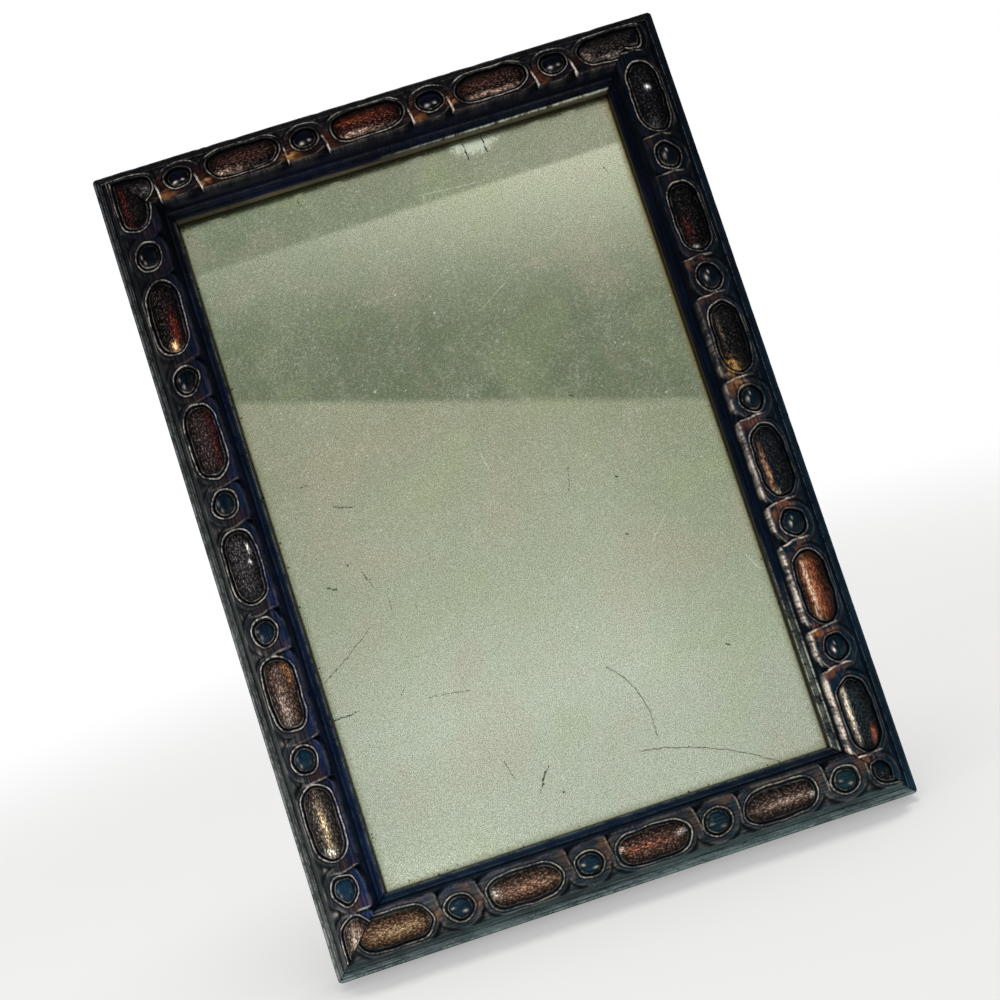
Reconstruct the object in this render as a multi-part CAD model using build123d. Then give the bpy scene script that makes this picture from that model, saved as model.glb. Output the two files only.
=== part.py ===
# Small standing mirror: four carved and mitred rails round a silvered glass, with a hinged easel strut behind.
# Millimetres. The frame is drawn upright first: X across, Z up, its front to -Y, and the rails' back at Y = 0.
# The strut is drawn folded flat, then swung open about its pin. All of it leans back on its rear lower edge.
import math
import os

from build123d import *

os.makedirs("parts", exist_ok=True)

# Frame, outside sizes and stance
frame_width = 190.0
frame_height = 268.0
rail_width = 22.0
lean_angle = 15.0

# Moulding, heights out from the back and insets from the outer side
edge_height = 11.0
edge_round = 0.8
fillet_width = 2.4
quirk_width = 0.7
quirk_depth = 0.7
band_outer_inset = 5.0
band_outer_height = 17.0
band_inner_inset = 18.4
band_inner_height = 21.9
flank_hollow = 0.35
shoulder_width = 0.7
shoulder_drop = 1.3
cove_depth = 5.0
cove_hollow = 0.25
reed_width = 0.9
reed_rise = 0.4
lip_height = 13.0
lip_width = 1.2
lip_round = 0.4
rebate_width = 3.4
rebate_depth = 9.0

# Carving: round beads and long cabochons take turns along the band and are cut by the mitres as they come
pitch = 41.35
cabochon_length = 22.8
cabochon_width = 10.4
cabochon_rise = 1.4
bead_diameter = 8.4
bead_rise = 2.0
motif_root = 1.0
top_first_bead = 37.5
bottom_first_bead = 43.2
left_first_bead = 33.5
right_first_bead = 9.25

# Brads through the mitres, square cut
brad_size = 1.4
brad_length = 24.0
brad_head_size = 2.2
brad_head_length = 0.9
brad_from_end = 8.0
brad_low_height = 4.5
brad_high_height = 8.4

# Glass, its coats and the packing behind it
glass_thickness = 2.2
glass_clearance = 0.4
silver_thickness = 0.1
paint_thickness = 0.1
paper_thickness = 0.4
paper_clearance = 1.0

# Backboard, feathered to a thin margin under the sprigs
board_clearance = 0.5
board_thickness = 6.6
board_margin = 7.0
board_margin_thickness = 4.6
board_feather = 10.0

# Glazing sprigs, square cut and headless
sprig_size = 1.1
sprig_length = 12.0
sprig_drive = 6.0
sprigs_per_stile = 3
sprigs_per_rail = 2

# Hinge of the strut
hinge_height = 170.0
hinge_width = 26.0
leaf_length = 15.0
leaf_thickness = 0.9
knuckle_count = 3
knuckle_radius = 1.6
knuckle_lift = 0.2
knuckle_gap = 0.15
knuckle_clearance = 0.35
pin_radius = 0.8
pin_clearance = 0.05
fold_clearance = 0.15

# Countersunk screws of the hinge
screw_head_radius = 1.7
screw_shank_radius = 0.85
screw_head_height = 0.8
screw_length = 5.0
screw_clearance = 0.05
screw_spacing = 15.0
screw_from_pin = 9.0

# Strut and the leather under its foot
strut_thickness = 6.0
strut_top_width = 34.0
strut_foot_width = 54.0
strut_edge_bevel = 0.8
strut_heel_tip = 1.2
strut_opening = 27.0
stop_clearance = 0.05
pad_thickness = 1.0

# One overrun serves every cut that has to pass a face
overrun = 2.0

# How far the middle of a quarter round lies from its centre, along each of its two radii
bow_share = 0.5 ** 0.5

rebate_inset = rail_width - rebate_width
lean = Rot(-lean_angle, 0, 0)


def bowed(start, end, rise):
    """Arc from start to end whose middle stands off the chord by rise, to the left of the way along it."""
    first = Vector(*start)
    last = Vector(*end)
    chord = last - first
    side = Vector(-chord.Y, chord.X).normalized()
    return ThreePointArc(first, (first + last) / 2 + side * rise, last)


def quarter(start, end):
    """Quarter round that leaves start upright and reaches end level."""
    middle_x = end[0] + (start[0] - end[0]) * bow_share
    middle_y = start[1] + (end[1] - start[1]) * bow_share
    return ThreePointArc(start, (middle_x, middle_y), end)


def moulding_face():
    """Section of a rail: first size inward from the outer side, second size out from the back."""
    edge = (0, edge_height - edge_round)
    fillet_start = (edge_round, edge_height)
    fillet_end = (fillet_width, edge_height)
    quirk_start = (fillet_width, edge_height - quirk_depth)
    quirk_end = (fillet_width + quirk_width, edge_height - quirk_depth)
    band_outer = (band_outer_inset, band_outer_height)
    band_inner = (band_inner_inset, band_inner_height)
    shoulder = (band_inner_inset + shoulder_width, band_inner_height - shoulder_drop)
    reed_end = (rail_width - lip_width, lip_height)
    reed_start = (rail_width - lip_width - reed_width, band_inner_height - shoulder_drop - cove_depth)
    lip_end = (rail_width - lip_round, lip_height)
    sight = (rail_width, lip_height - lip_round)
    rebate_top = (rail_width, rebate_depth)
    rebate_corner = (rebate_inset, rebate_depth)
    rebate_foot = (rebate_inset, 0)
    outline = [
        Line((0, 0), edge),
        quarter(edge, fillet_start),
        Line(fillet_start, fillet_end),
        Line(fillet_end, quirk_start),
        Line(quirk_start, quirk_end),
        bowed(quirk_end, band_outer, -flank_hollow),
        Line(band_outer, band_inner),
        bowed(band_inner, shoulder, shoulder_width / 2),
        bowed(shoulder, reed_start, -cove_hollow),
        bowed(reed_start, reed_end, reed_rise),
        Line(reed_end, lip_end),
        bowed(lip_end, sight, lip_round / 4),
        Line(sight, rebate_top),
        Line(rebate_top, rebate_corner),
        Line(rebate_corner, rebate_foot),
        Line(rebate_foot, (0, 0)),
    ]
    return make_face(outline)


def band_plane(place):
    """Plane on the middle of the band: X along the rail, Y inward up the band, Z out of the carving."""
    run = band_inner_inset - band_outer_inset
    climb = band_inner_height - band_outer_height
    slope = math.hypot(run, climb)
    inset = (band_outer_inset + band_inner_inset) / 2
    height = (band_outer_height + band_inner_height) / 2
    return Plane(origin=(place, -height, inset), x_dir=(1, 0, 0), z_dir=(0, -run / slope, -climb / slope))


def cap_radius(width, rise):
    """Radius of the circle whose cap is as wide and as high as said."""
    return (width * width / 4 + rise * rise) / (2 * rise)


def cabochon():
    """Long dome on the band and its root below it: a bar with rounded ends, cut to the outline of a slot."""
    radius = cap_radius(cabochon_width, cabochon_rise)
    half = (cabochon_length - cabochon_width) / 2
    bow = radius * bow_share
    outline = [
        Line((-half - radius, 0), (half + radius, 0)),
        ThreePointArc((half + radius, 0), (half + bow, bow), (half, radius)),
        Line((half, radius), (-half, radius)),
        ThreePointArc((-half, radius), (-half - bow, bow), (-half - radius, 0)),
    ]
    bar = Pos(0, 0, cabochon_rise - radius) * revolve(make_face(outline), axis=Axis.X)
    slot = extrude(SlotOverall(cabochon_length, cabochon_width), amount=motif_root + cabochon_rise + overrun)
    return bar & Pos(0, 0, -motif_root) * slot


def bead():
    """Round dome on the band and its root below it."""
    radius = cap_radius(bead_diameter, bead_rise)
    ball = Pos(0, 0, bead_rise - radius) * Rot(0, 90, 0) * Sphere(radius)
    disc = extrude(Circle(bead_diameter / 2), amount=motif_root + bead_rise + overrun)
    return ball & Pos(0, 0, -motif_root) * disc


def rail(length, first_bead):
    """One rail along X with its outer side at Z = 0: moulded and carved right through, then mitred."""
    section_plane = Plane(origin=(0, 0, 0), x_dir=(0, 0, 1), z_dir=(1, 0, 0))
    bar = extrude(section_plane * moulding_face(), amount=length)
    domes = []
    steps = math.ceil(length / pitch) + 1
    for step in range(-steps, steps + 1):
        bead_place = first_bead + step * pitch
        for motif, place in ((bead(), bead_place), (cabochon(), bead_place + pitch / 2)):
            if -pitch / 2 < place < length + pitch / 2:
                domes.append(band_plane(place) * motif)
    corners = [(0, 0), (length, 0), (length - rail_width, rail_width), (rail_width, rail_width)]
    mitred = extrude(Plane.XZ * make_face(Polyline(*corners, close=True)), amount=band_inner_height + overrun)
    return (bar + domes) & mitred


def brad(height):
    """Square brad driven along +X from its head, with its head's outer face at the origin."""
    head = Pos(brad_head_length / 2, -height, 0) * Box(brad_head_length, brad_head_size, brad_head_size)
    shank = Pos(brad_length / 2, -height, 0) * Box(brad_length, brad_size, brad_size)
    return head + shank


def brads():
    """Two brads at each corner, one from each side, at different heights so that they pass each other."""
    half = frame_width / 2
    pieces = []
    for level in (brad_from_end, frame_height - brad_from_end):
        pieces.append(Pos(-half, 0, level) * brad(brad_low_height))
        pieces.append(Pos(half, 0, level) * Rot(0, 180, 0) * brad(brad_low_height))
    for across in (-half + brad_from_end, half - brad_from_end):
        pieces.append(Pos(across, 0, 0) * Rot(0, -90, 0) * brad(brad_high_height))
        pieces.append(Pos(across, 0, frame_height) * Rot(0, 90, 0) * brad(brad_high_height))
    return pieces


def sheet(clearance, front, thickness):
    """Flat sheet in the rebate with its front face at a height out from the back."""
    width = frame_width - 2 * rebate_inset - 2 * clearance
    height = frame_height - 2 * rebate_inset - 2 * clearance
    return Pos(0, -front + thickness / 2, frame_height / 2) * Box(width, thickness, height)


board_front = rebate_depth - glass_thickness - silver_thickness - paint_thickness - paper_thickness
board_back = board_thickness - board_front
margin_back = board_margin_thickness - board_front


def hipped(width, length, plane):
    """Bar of trapezoid section, the board's field and its feathered slopes, centred on the plane."""
    rise = board_thickness - board_margin_thickness
    half = width / 2 - board_margin
    corners = [(-half, 0), (half, 0), (half - board_feather, rise), (board_feather - half, rise)]
    return extrude(plane * make_face(Polyline(*corners, close=True)), amount=length / 2, both=True)


def backboard():
    """Board whose four edges are flat margins under the sprigs, feathered up to the full thickness."""
    width = frame_width - 2 * rebate_inset - 2 * board_clearance
    height = frame_height - 2 * rebate_inset - 2 * board_clearance
    centre = (0, margin_back, frame_height / 2)
    across = hipped(width, height, Plane(origin=centre, x_dir=(1, 0, 0), z_dir=(0, 0, 1)))
    upright = hipped(height, width, Plane(origin=centre, x_dir=(0, 0, -1), z_dir=(1, 0, 0)))
    return sheet(board_clearance, board_front, board_margin_thickness) + (across & upright)


def sprigs():
    """Headless sprigs flat on the board's margin, each driven into the wall of the rebate."""
    pieces = []
    wall_x = frame_width / 2 - rebate_inset
    wall_z = frame_height / 2 - rebate_inset
    along = sprig_drive - sprig_length / 2
    depth = margin_back + sprig_size / 2
    for index in range(sprigs_per_stile):
        level = frame_height / 2 + (index - (sprigs_per_stile - 1) / 2) * 2 * wall_z / (sprigs_per_stile + 1)
        for side in (-1, 1):
            place = Pos(side * (wall_x + along), depth, level)
            pieces.append(place * Box(sprig_length, sprig_size, sprig_size))
    for index in range(sprigs_per_rail):
        across = (index - (sprigs_per_rail - 1) / 2) * 2 * wall_x / (sprigs_per_rail + 1)
        for side in (-1, 1):
            place = Pos(across, depth, frame_height / 2 + side * (wall_z + along))
            pieces.append(place * Box(sprig_size, sprig_size, sprig_length))
    return pieces


pin_y = board_back + knuckle_lift + knuckle_radius
fixed_leaf_front = board_back
moving_leaf_front = board_back + fold_clearance
strut_inner = moving_leaf_front + leaf_thickness
stop_y = fixed_leaf_front + leaf_thickness + stop_clearance
hinge_spot = Pos(0, pin_y, hinge_height)
hinge_home = Pos(0, -pin_y, -hinge_height)
swing_open = hinge_spot * Rot(strut_opening, 0, 0) * hinge_home
swing_shut = hinge_spot * Rot(-strut_opening, 0, 0) * hinge_home


def along_x(radius, length):
    """Cylinder on the line of the hinge pin."""
    return hinge_spot * Rot(0, 90, 0) * Cylinder(radius, length)


def leaf(front, side, first_knuckle):
    """Hinge leaf, up for side 1 and down for side -1, with every second knuckle from first_knuckle."""
    start = knuckle_radius + knuckle_clearance
    plate_length = leaf_length - start
    depth = front + leaf_thickness / 2
    plate_level = hinge_height + side * (start + plate_length / 2)
    shape = Pos(0, depth, plate_level) * Box(hinge_width, leaf_thickness, plate_length)
    step = hinge_width / knuckle_count
    knuckle_width = step - knuckle_gap
    for index in range(first_knuckle, knuckle_count, 2):
        across = (index - (knuckle_count - 1) / 2) * step
        tongue = Box(knuckle_width, leaf_thickness, start)
        shape += Pos(across, depth, hinge_height + side * start / 2) * tongue
        shape += Pos(across, 0, 0) * along_x(knuckle_radius, knuckle_width)
    return shape - along_x(pin_radius + pin_clearance, hinge_width + overrun)


def screw(grow):
    """Countersunk screw along +Y with its head's face at the origin, grown by the clearance for a hole."""
    head_radius = screw_head_radius + grow
    shank_radius = screw_shank_radius + grow
    point = screw_length + grow
    outline = Polyline(
        (0, 0),
        (head_radius, 0),
        (shank_radius, screw_head_height + grow),
        (shank_radius, point),
        (0, point),
        close=True,
    )
    return revolve(make_face(outline), axis=Axis.Y)


def at_screws(surface, side, piece):
    """The piece at each screw of one leaf. Side 1 goes into the board and side -1 into the strut."""
    turn = Rot(180, 0, 0) if side > 0 else Rot(0, 0, 0)
    level = hinge_height + side * screw_from_pin
    pieces = []
    for across in (-screw_spacing / 2, screw_spacing / 2):
        pieces.append(Pos(across, surface, level) * turn * piece)
    return pieces


def pilot():
    """Hole along +Y for the shank of a screw whose head's face is at the origin."""
    depth = screw_length + screw_clearance
    return Pos(0, depth / 2, 0) * Rot(90, 0, 0) * Cylinder(screw_shank_radius + screw_clearance, depth)


lean_radians = math.radians(lean_angle)
pin_over_table = hinge_height * math.cos(lean_radians) - pin_y * math.sin(lean_radians)
strut_reach = pin_over_table / math.cos(math.radians(strut_opening - lean_angle))


def strut_blank():
    """Folded strut, longer than it needs to be: tapered, its heel bevelled, a groove for the knuckles."""
    heel = (strut_thickness - strut_heel_tip) / math.tan(math.radians(strut_opening))
    low = hinge_height - strut_reach - strut_thickness
    high = hinge_height + heel
    corners = [
        (-strut_foot_width / 2, low),
        (strut_foot_width / 2, low),
        (strut_top_width / 2, high),
        (-strut_top_width / 2, high),
    ]
    back_plane = Plane(origin=(0, strut_inner, 0), x_dir=(1, 0, 0), z_dir=(0, -1, 0))
    board = extrude(back_plane * make_face(Polyline(*corners, close=True)), amount=-strut_thickness)
    board = chamfer(board.faces().sort_by(Axis.Y)[-1].edges(), strut_edge_bevel)
    bevel_size = 4 * strut_thickness
    bevel = Pos(0, stop_y - bevel_size / 2, hinge_height + bevel_size / 2)
    bevel = bevel * Box(2 * strut_top_width, bevel_size, bevel_size)
    groove = along_x(knuckle_radius + knuckle_clearance, hinge_width + 2 * knuckle_clearance)
    return board - swing_shut * bevel - groove - at_screws(moving_leaf_front, -1, pilot())


def ground_slab(low, high):
    """Level slab under the strut's foot between two heights over the table."""
    size = 2 * strut_reach
    return Pos(0, 0, (low + high) / 2) * Box(size, size, high - low)


def leaned(shape):
    """The upright shape, or list of shapes, leaned back about the frame's rear lower edge."""
    if isinstance(shape, list):
        return [lean * piece for piece in shape]
    return lean * shape


def swung(shape):
    """The folded shape, or list of shapes, swung open about the pin and leaned back with the frame."""
    if isinstance(shape, list):
        return [lean * swing_open * piece for piece in shape]
    return lean * swing_open * shape


nails = brads()
points = sprigs()
driven = nails + points
bottom_rail = Pos(-frame_width / 2, 0, 0) * rail(frame_width, bottom_first_bead)
top_rail = Pos(frame_width / 2, 0, frame_height) * Rot(0, 180, 0) * rail(frame_width, top_first_bead)
left_stile = Pos(-frame_width / 2, 0, frame_height) * Rot(0, 90, 0) * rail(frame_height, left_first_bead)
right_stile = Pos(frame_width / 2, 0, 0) * Rot(0, -90, 0) * rail(frame_height, right_first_bead)

silver_front = rebate_depth - glass_thickness
paint_front = silver_front - silver_thickness
paper_front = paint_front - paint_thickness
fixed_screw_face = fixed_leaf_front + leaf_thickness
fixed_holes = at_screws(fixed_screw_face, 1, screw(screw_clearance))
moving_holes = at_screws(moving_leaf_front, -1, screw(screw_clearance))
open_strut = swung(strut_blank())

nodes = {
    "top_rail": leaned(top_rail - driven),
    "bottom_rail": leaned(bottom_rail - driven),
    "left_stile": leaned(left_stile - driven),
    "right_stile": leaned(right_stile - driven),
    "corner_brads": leaned(nails),
    "mirror_glass": leaned(sheet(glass_clearance, rebate_depth, glass_thickness)),
    "silver_coat": leaned(sheet(glass_clearance, silver_front, silver_thickness)),
    "backing_paint": leaned(sheet(glass_clearance, paint_front, paint_thickness)),
    "packing_paper": leaned(sheet(paper_clearance, paper_front, paper_thickness)),
    "backboard": leaned(backboard() - at_screws(fixed_screw_face, 1, pilot())),
    "glazing_sprigs": leaned(points),
    "hinge_fixed_leaf": leaned(leaf(fixed_leaf_front, 1, 0) - fixed_holes),
    "hinge_pin": leaned(along_x(pin_radius, hinge_width)),
    "fixed_leaf_screws": leaned(at_screws(fixed_screw_face, 1, screw(0))),
    "hinge_moving_leaf": swung(leaf(moving_leaf_front, -1, 1) - moving_holes),
    "moving_leaf_screws": swung(at_screws(moving_leaf_front, -1, screw(0))),
    "strut": open_strut - ground_slab(-2 * strut_thickness, pad_thickness),
    "strut_foot_pad": open_strut & ground_slab(0, pad_thickness),
}

solids = {name: shape if isinstance(shape, list) else [shape] for name, shape in nodes.items()}
box = Compound(children=[piece for pieces in solids.values() for piece in pieces]).bounding_box()
centre = Pos(0, -(box.min.Y + box.max.Y) / 2, 0)
for name, pieces in solids.items():
    export_step(Compound(children=[centre * piece for piece in pieces]), f"parts/{name}.step")

pin_spot = centre * lean * hinge_spot
back_spot = centre * lean * Pos(0, 0, frame_height - rebate_inset / 2)
print("size", box.size)
print("hinge pin", pin_spot.position)
print("rail back", back_spot.position)
print("foot", (centre * nodes["strut_foot_pad"]).faces().sort_by(Axis.Z)[0].center())
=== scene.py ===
import math

import bpy
import numpy as np
from mathutils import Euler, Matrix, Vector


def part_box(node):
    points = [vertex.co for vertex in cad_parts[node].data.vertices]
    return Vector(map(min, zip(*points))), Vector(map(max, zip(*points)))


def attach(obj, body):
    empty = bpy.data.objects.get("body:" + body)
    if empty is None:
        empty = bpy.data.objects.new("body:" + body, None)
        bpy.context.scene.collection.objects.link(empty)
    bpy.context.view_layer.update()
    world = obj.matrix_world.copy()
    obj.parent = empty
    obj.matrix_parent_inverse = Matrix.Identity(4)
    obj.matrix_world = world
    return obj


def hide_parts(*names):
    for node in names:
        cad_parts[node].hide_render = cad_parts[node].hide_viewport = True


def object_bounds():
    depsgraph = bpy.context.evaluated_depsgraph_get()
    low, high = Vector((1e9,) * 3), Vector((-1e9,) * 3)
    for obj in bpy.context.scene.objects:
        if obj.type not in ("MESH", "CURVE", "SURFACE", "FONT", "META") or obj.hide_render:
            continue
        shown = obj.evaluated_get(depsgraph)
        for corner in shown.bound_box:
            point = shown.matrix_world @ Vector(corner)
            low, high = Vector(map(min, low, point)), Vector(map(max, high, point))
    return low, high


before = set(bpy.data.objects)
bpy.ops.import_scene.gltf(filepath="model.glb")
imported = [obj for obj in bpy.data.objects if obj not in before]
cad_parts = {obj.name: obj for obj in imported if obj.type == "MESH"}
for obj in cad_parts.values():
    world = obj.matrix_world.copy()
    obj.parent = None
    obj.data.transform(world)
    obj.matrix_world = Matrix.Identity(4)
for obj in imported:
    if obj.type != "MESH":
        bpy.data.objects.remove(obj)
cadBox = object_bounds()
scene = bpy.context.scene

mm = 0.001
leanAngle = math.radians(15.0)  # the frame leans back by this from upright


def tone(red, green, blue):
    # A colour written as it looks on a screen, 0 to 255, as the shader's linear numbers.
    parts = []
    for value in (red, green, blue):
        share = value / 255.0
        parts.append(share / 12.92 if share <= 0.04045 else ((share + 0.055) / 1.055) ** 2.4)
    return (*parts, 1.0)


def smooth(low, high, value):
    # Smoothstep: 0 on low's side, 1 on high's, 3t2 - 2t3 between.
    share = np.clip((value - low) / (high - low), 0.0, 1.0)
    return share * share * (3.0 - 2.0 * share)


def bell(value, middle, width):
    # Gaussian bump of height 1.
    return np.exp(-((value - middle) / width) ** 2)


def ripple(first, second, scale, seed, waves=9):
    # Soft noise about -1 to 1: the mean of plane waves in random directions, their lengths near scale.
    random = np.random.default_rng(seed)
    total = np.zeros(np.broadcast(first, second).shape)
    for turn, phase, stretch in random.random((waves, 3)):
        angle = turn * math.tau
        length = scale * (0.6 + 0.8 * stretch)
        along = first * math.cos(angle) + second * math.sin(angle)
        total += np.sin(along * math.tau / length + phase * math.tau)
    return total / math.sqrt(waves * 0.5)


# Places. The rails are worked out upright: x across, z up the frame, y back, in millimetres.

lowBox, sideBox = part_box("bottom_rail"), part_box("left_stile")
frameSize = {
    "width": (lowBox[1].x - lowBox[0].x) / mm,
    "railWidth": (sideBox[1].x - sideBox[0].x) / mm,
    "height": 268.0,
    "rebateFrom": 18.6,  # inset of the rebate in the back, where the rails' back face ends
}
rearEdge = lowBox[1].y / mm - frameSize["rebateFrom"] * math.sin(leanAngle)


def stand(x, y, z):
    # Upright millimetres to the leaning frame's metres: a turn about x by the lean, then on to the rear edge.
    back = y * math.cos(leanAngle) + z * math.sin(leanAngle) + rearEdge
    up = z * math.cos(leanAngle) - y * math.sin(leanAngle)
    return np.stack([x * mm, back * mm, up * mm], axis=-1)


# Shader helpers

class Field:
    # One output of a node: a value, colour or vector over a surface. Arithmetic on it adds Math nodes.
    def __init__(self, node, output):
        self.socket = node.outputs[output]
        self.tree = node.id_data

    def __add__(self, other):
        return calc("ADD", self, other)

    def __sub__(self, other):
        return calc("SUBTRACT", self, other)

    def __rsub__(self, other):
        return calc("SUBTRACT", other, self)

    def __mul__(self, other):
        return calc("MULTIPLY", self, other)

    def __truediv__(self, other):
        return calc("DIVIDE", self, other)


def plug(node, inputs):
    # Inputs of a node by name: a field is linked, a plain value is set on the socket.
    for name, value in inputs.items():
        if isinstance(value, Field):
            node.id_data.links.new(value.socket, node.inputs[name])
        else:
            node.inputs[name].default_value = value


def addNode(tree, kind, inputs=None, **settings):
    node = tree.nodes.new("ShaderNode" + kind)
    for name, value in settings.items():
        setattr(node, name, value)
    plug(node, inputs or {})
    return node


def valueOf(tree, kind, output, inputs=None, **settings):
    # One output of a new node.
    return Field(addNode(tree, kind, inputs, **settings), output)


def treeOf(values):
    # The node tree of the first field among some values.
    return next(value.tree for value in values if isinstance(value, Field))


def calc(operation, *values, clamp=False):
    # One Math node, its result.
    return valueOf(treeOf(values), "Math", 0, dict(enumerate(values)), operation=operation, use_clamp=clamp)


def most(first, *others):
    # The highest of several values.
    for other in others:
        first = calc("MAXIMUM", first, other)
    return first


def vectorCalc(operation, *values, output="Vector", **named):
    inputs = {**dict(enumerate(values)), **named}
    return valueOf(treeOf(values), "VectorMath", output, inputs, operation=operation)


def fade(value, low, high, fromValue=0.0, toValue=1.0):
    # Smooth step of a value between two ends.
    inputs = {"Value": value, "From Min": low, "From Max": high, "To Min": fromValue, "To Max": toValue}
    return valueOf(value.tree, "MapRange", "Result", inputs, interpolation_type="SMOOTHSTEP")


def blend(amount, first, second, kind="MIX"):
    # Mix of two colours.
    values = (amount, first, second)
    return valueOf(treeOf(values), "Mix", 2, dict(zip((0, 6, 7), values)), data_type="RGBA", blend_type=kind)


def layered(colour, *layers):
    # Colours laid over one another, each by its own amount.
    for amount, laid in layers:
        colour = blend(amount, colour, laid)
    return colour


def times(colour, level):
    # A colour lightened or darkened by a number.
    grey = valueOf(level.tree, "CombineColor", "Color", {"Red": level, "Green": level, "Blue": level})
    return blend(1.0, colour, grey, "MULTIPLY")


def noise(vector, scale, detail=3.0, roughness=0.5, distortion=0.0):
    return valueOf(vector.tree, "TexNoise", "Fac", {
        "Vector": vector, "Scale": scale, "Detail": detail, "Roughness": roughness, "Distortion": distortion})


def cells(vector, scale, dimensions="3D"):
    inputs = {"Vector": vector, "Scale": scale}
    return valueOf(vector.tree, "TexVoronoi", "Distance", inputs, voronoi_dimensions=dimensions)


def attribute(tree, name, output="Fac"):
    return valueOf(tree, "Attribute", output, attribute_name=name)


def axes(vector):
    # A vector's x, y and z.
    node = addNode(vector.tree, "SeparateXYZ", {"Vector": vector})
    return [Field(node, axis) for axis in "XYZ"]


def moved(vector, turn=(0.0, 0.0, 0.0), scale=(1.0, 1.0, 1.0), shift=(0.0, 0.0, 0.0)):
    # A vector scaled, turned and then shifted.
    inputs = {"Vector": vector, "Rotation": turn, "Scale": scale, "Location": shift}
    return valueOf(vector.tree, "Mapping", "Vector", inputs)


def place(tree, source="Object", **moves):
    return moved(valueOf(tree, "TexCoord", source), **moves)


def newMaterial(name, **fixed):
    # A material with one Principled shader, its constant sockets set straight on it.
    material = bpy.data.materials.new(name)
    material.use_nodes = True
    shader = material.node_tree.nodes["Principled BSDF"]
    plug(shader, {socket.replace("_", " "): value for socket, value in fixed.items()})
    return material, material.node_tree, shader


def bump(shader, height, strength, distance):
    inputs = {"Height": height, "Strength": strength, "Distance": distance}
    plug(shader, {"Normal": valueOf(height.tree, "Bump", "Normal", inputs)})


def newGroup(name, inputs, build):
    # A node group. Its inputs are vectors (None) or numbers with a start value. Build gives its named outputs.
    group = bpy.data.node_groups.new(name, "ShaderNodeTree")
    for socketName, value in inputs.items():
        kind = "NodeSocketVector" if value is None else "NodeSocketFloat"
        socket = group.interface.new_socket(socketName, in_out="INPUT", socket_type=kind)
        if value is not None:
            socket.default_value = value
    start = group.nodes.new("NodeGroupInput")
    made = build(*[Field(start, socketName) for socketName in inputs])
    for socketName in made:
        group.interface.new_socket(socketName, in_out="OUTPUT", socket_type="NodeSocketFloat")
    plug(group.nodes.new("NodeGroupOutput"), made)
    return group


def useGroup(group, inputs, output):
    return valueOf(treeOf(inputs.values()), "Group", output, inputs, node_tree=group)


def dustMask(vector, scale, amount):
    # Specks that lie on any old surface: the middles of cells, below a limit that drifts over the surface.
    spread = fade(noise(vector, 260.0, 2.0), 0.42, 0.72) * amount
    return {"Dust": calc("LESS_THAN", cells(vector, scale), spread * 0.34)}


def timberMasks(vector, rings, pores):
    # Grain of a planed board along the vector's z: wide rings for figure, stretched noise for pores.
    flat, long = (moved(vector, scale=(1.0, 1.0, squeeze)) for squeeze in (0.06, 0.025))
    wander = noise(flat, 26.0, 2.0)
    figure = calc("PINGPONG", (noise(flat, 9.0, 1.0) + wander * 0.3) * rings, 1.0)
    return {"Figure": figure, "Pore": noise(long, pores, 2.0, 0.7)}


def lineMask(value, middle, halfWidth):
    # A carved line on a distance: full where the value is at the middle, gone at 1.4 half widths from it.
    return {"Mask": fade(calc("ABSOLUTE", value - middle) / halfWidth, 0.4, 1.4, 1.0, 0.0)}


dust = newGroup("dust", {"Vector": None, "Scale": 900.0, "Amount": 0.5}, dustMask)
timber = newGroup("timber", {"Vector": None, "Rings": 90.0, "Pores": 900.0}, timberMasks)
carvedLine = newGroup("carved_line", {"Value": 0.0, "Middle": 0.0, "Half Width": 0.2}, lineMask)


def dusted(vector, scale, amount):
    return useGroup(dust, {"Vector": vector, "Scale": scale, "Amount": amount}, "Dust")


# Carved rails

railSettings = {
    "pitch": 41.35,
    "bandMiddle": 11.7,
    "bandTilt": math.atan2(4.9, 13.4),
    "alongSamples": 740,
    "cornerRound": 1.3,
    "nicks": 26,
    "edge": 1.1,  # from a ring's crest in to the foot of its dome
    "lozenge": {"half": 6.7, "ring": 5.45, "swell": 0.8, "sink": 0.75, "rise": 1.6},
    "lozengeReach": (12.2, 5.0),  # half length and half width, for its swell and the places of its streaks
    "bead": {"ring": 4.75, "swell": 0.0, "sink": 0.85, "rise": 1.85},
    "beadOff": (0.3, 0.1),  # a bead's own middle, along and across
    "beadFoot": -4.9,  # along from a bead's middle, where its own pad starts
    "lozengeFoot": 8.2,  # along from a bead's middle, where the next lozenge's pad starts
    "padSlant": 0.15,
    # Outlines of pads, inner arches and outer scallops: half length of the core, radius, shift along
    "beadArch": (2.2, 7.25, 2.4),
    "lozengeArch": (10.55, 7.3, 2.45),
    "beadScallop": (0.0, 6.9),
    "lozengeScallop": (6.2, 7.15),
    "innerNotch": 1.7,
    "outerNotch": 1.35,
}

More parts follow.
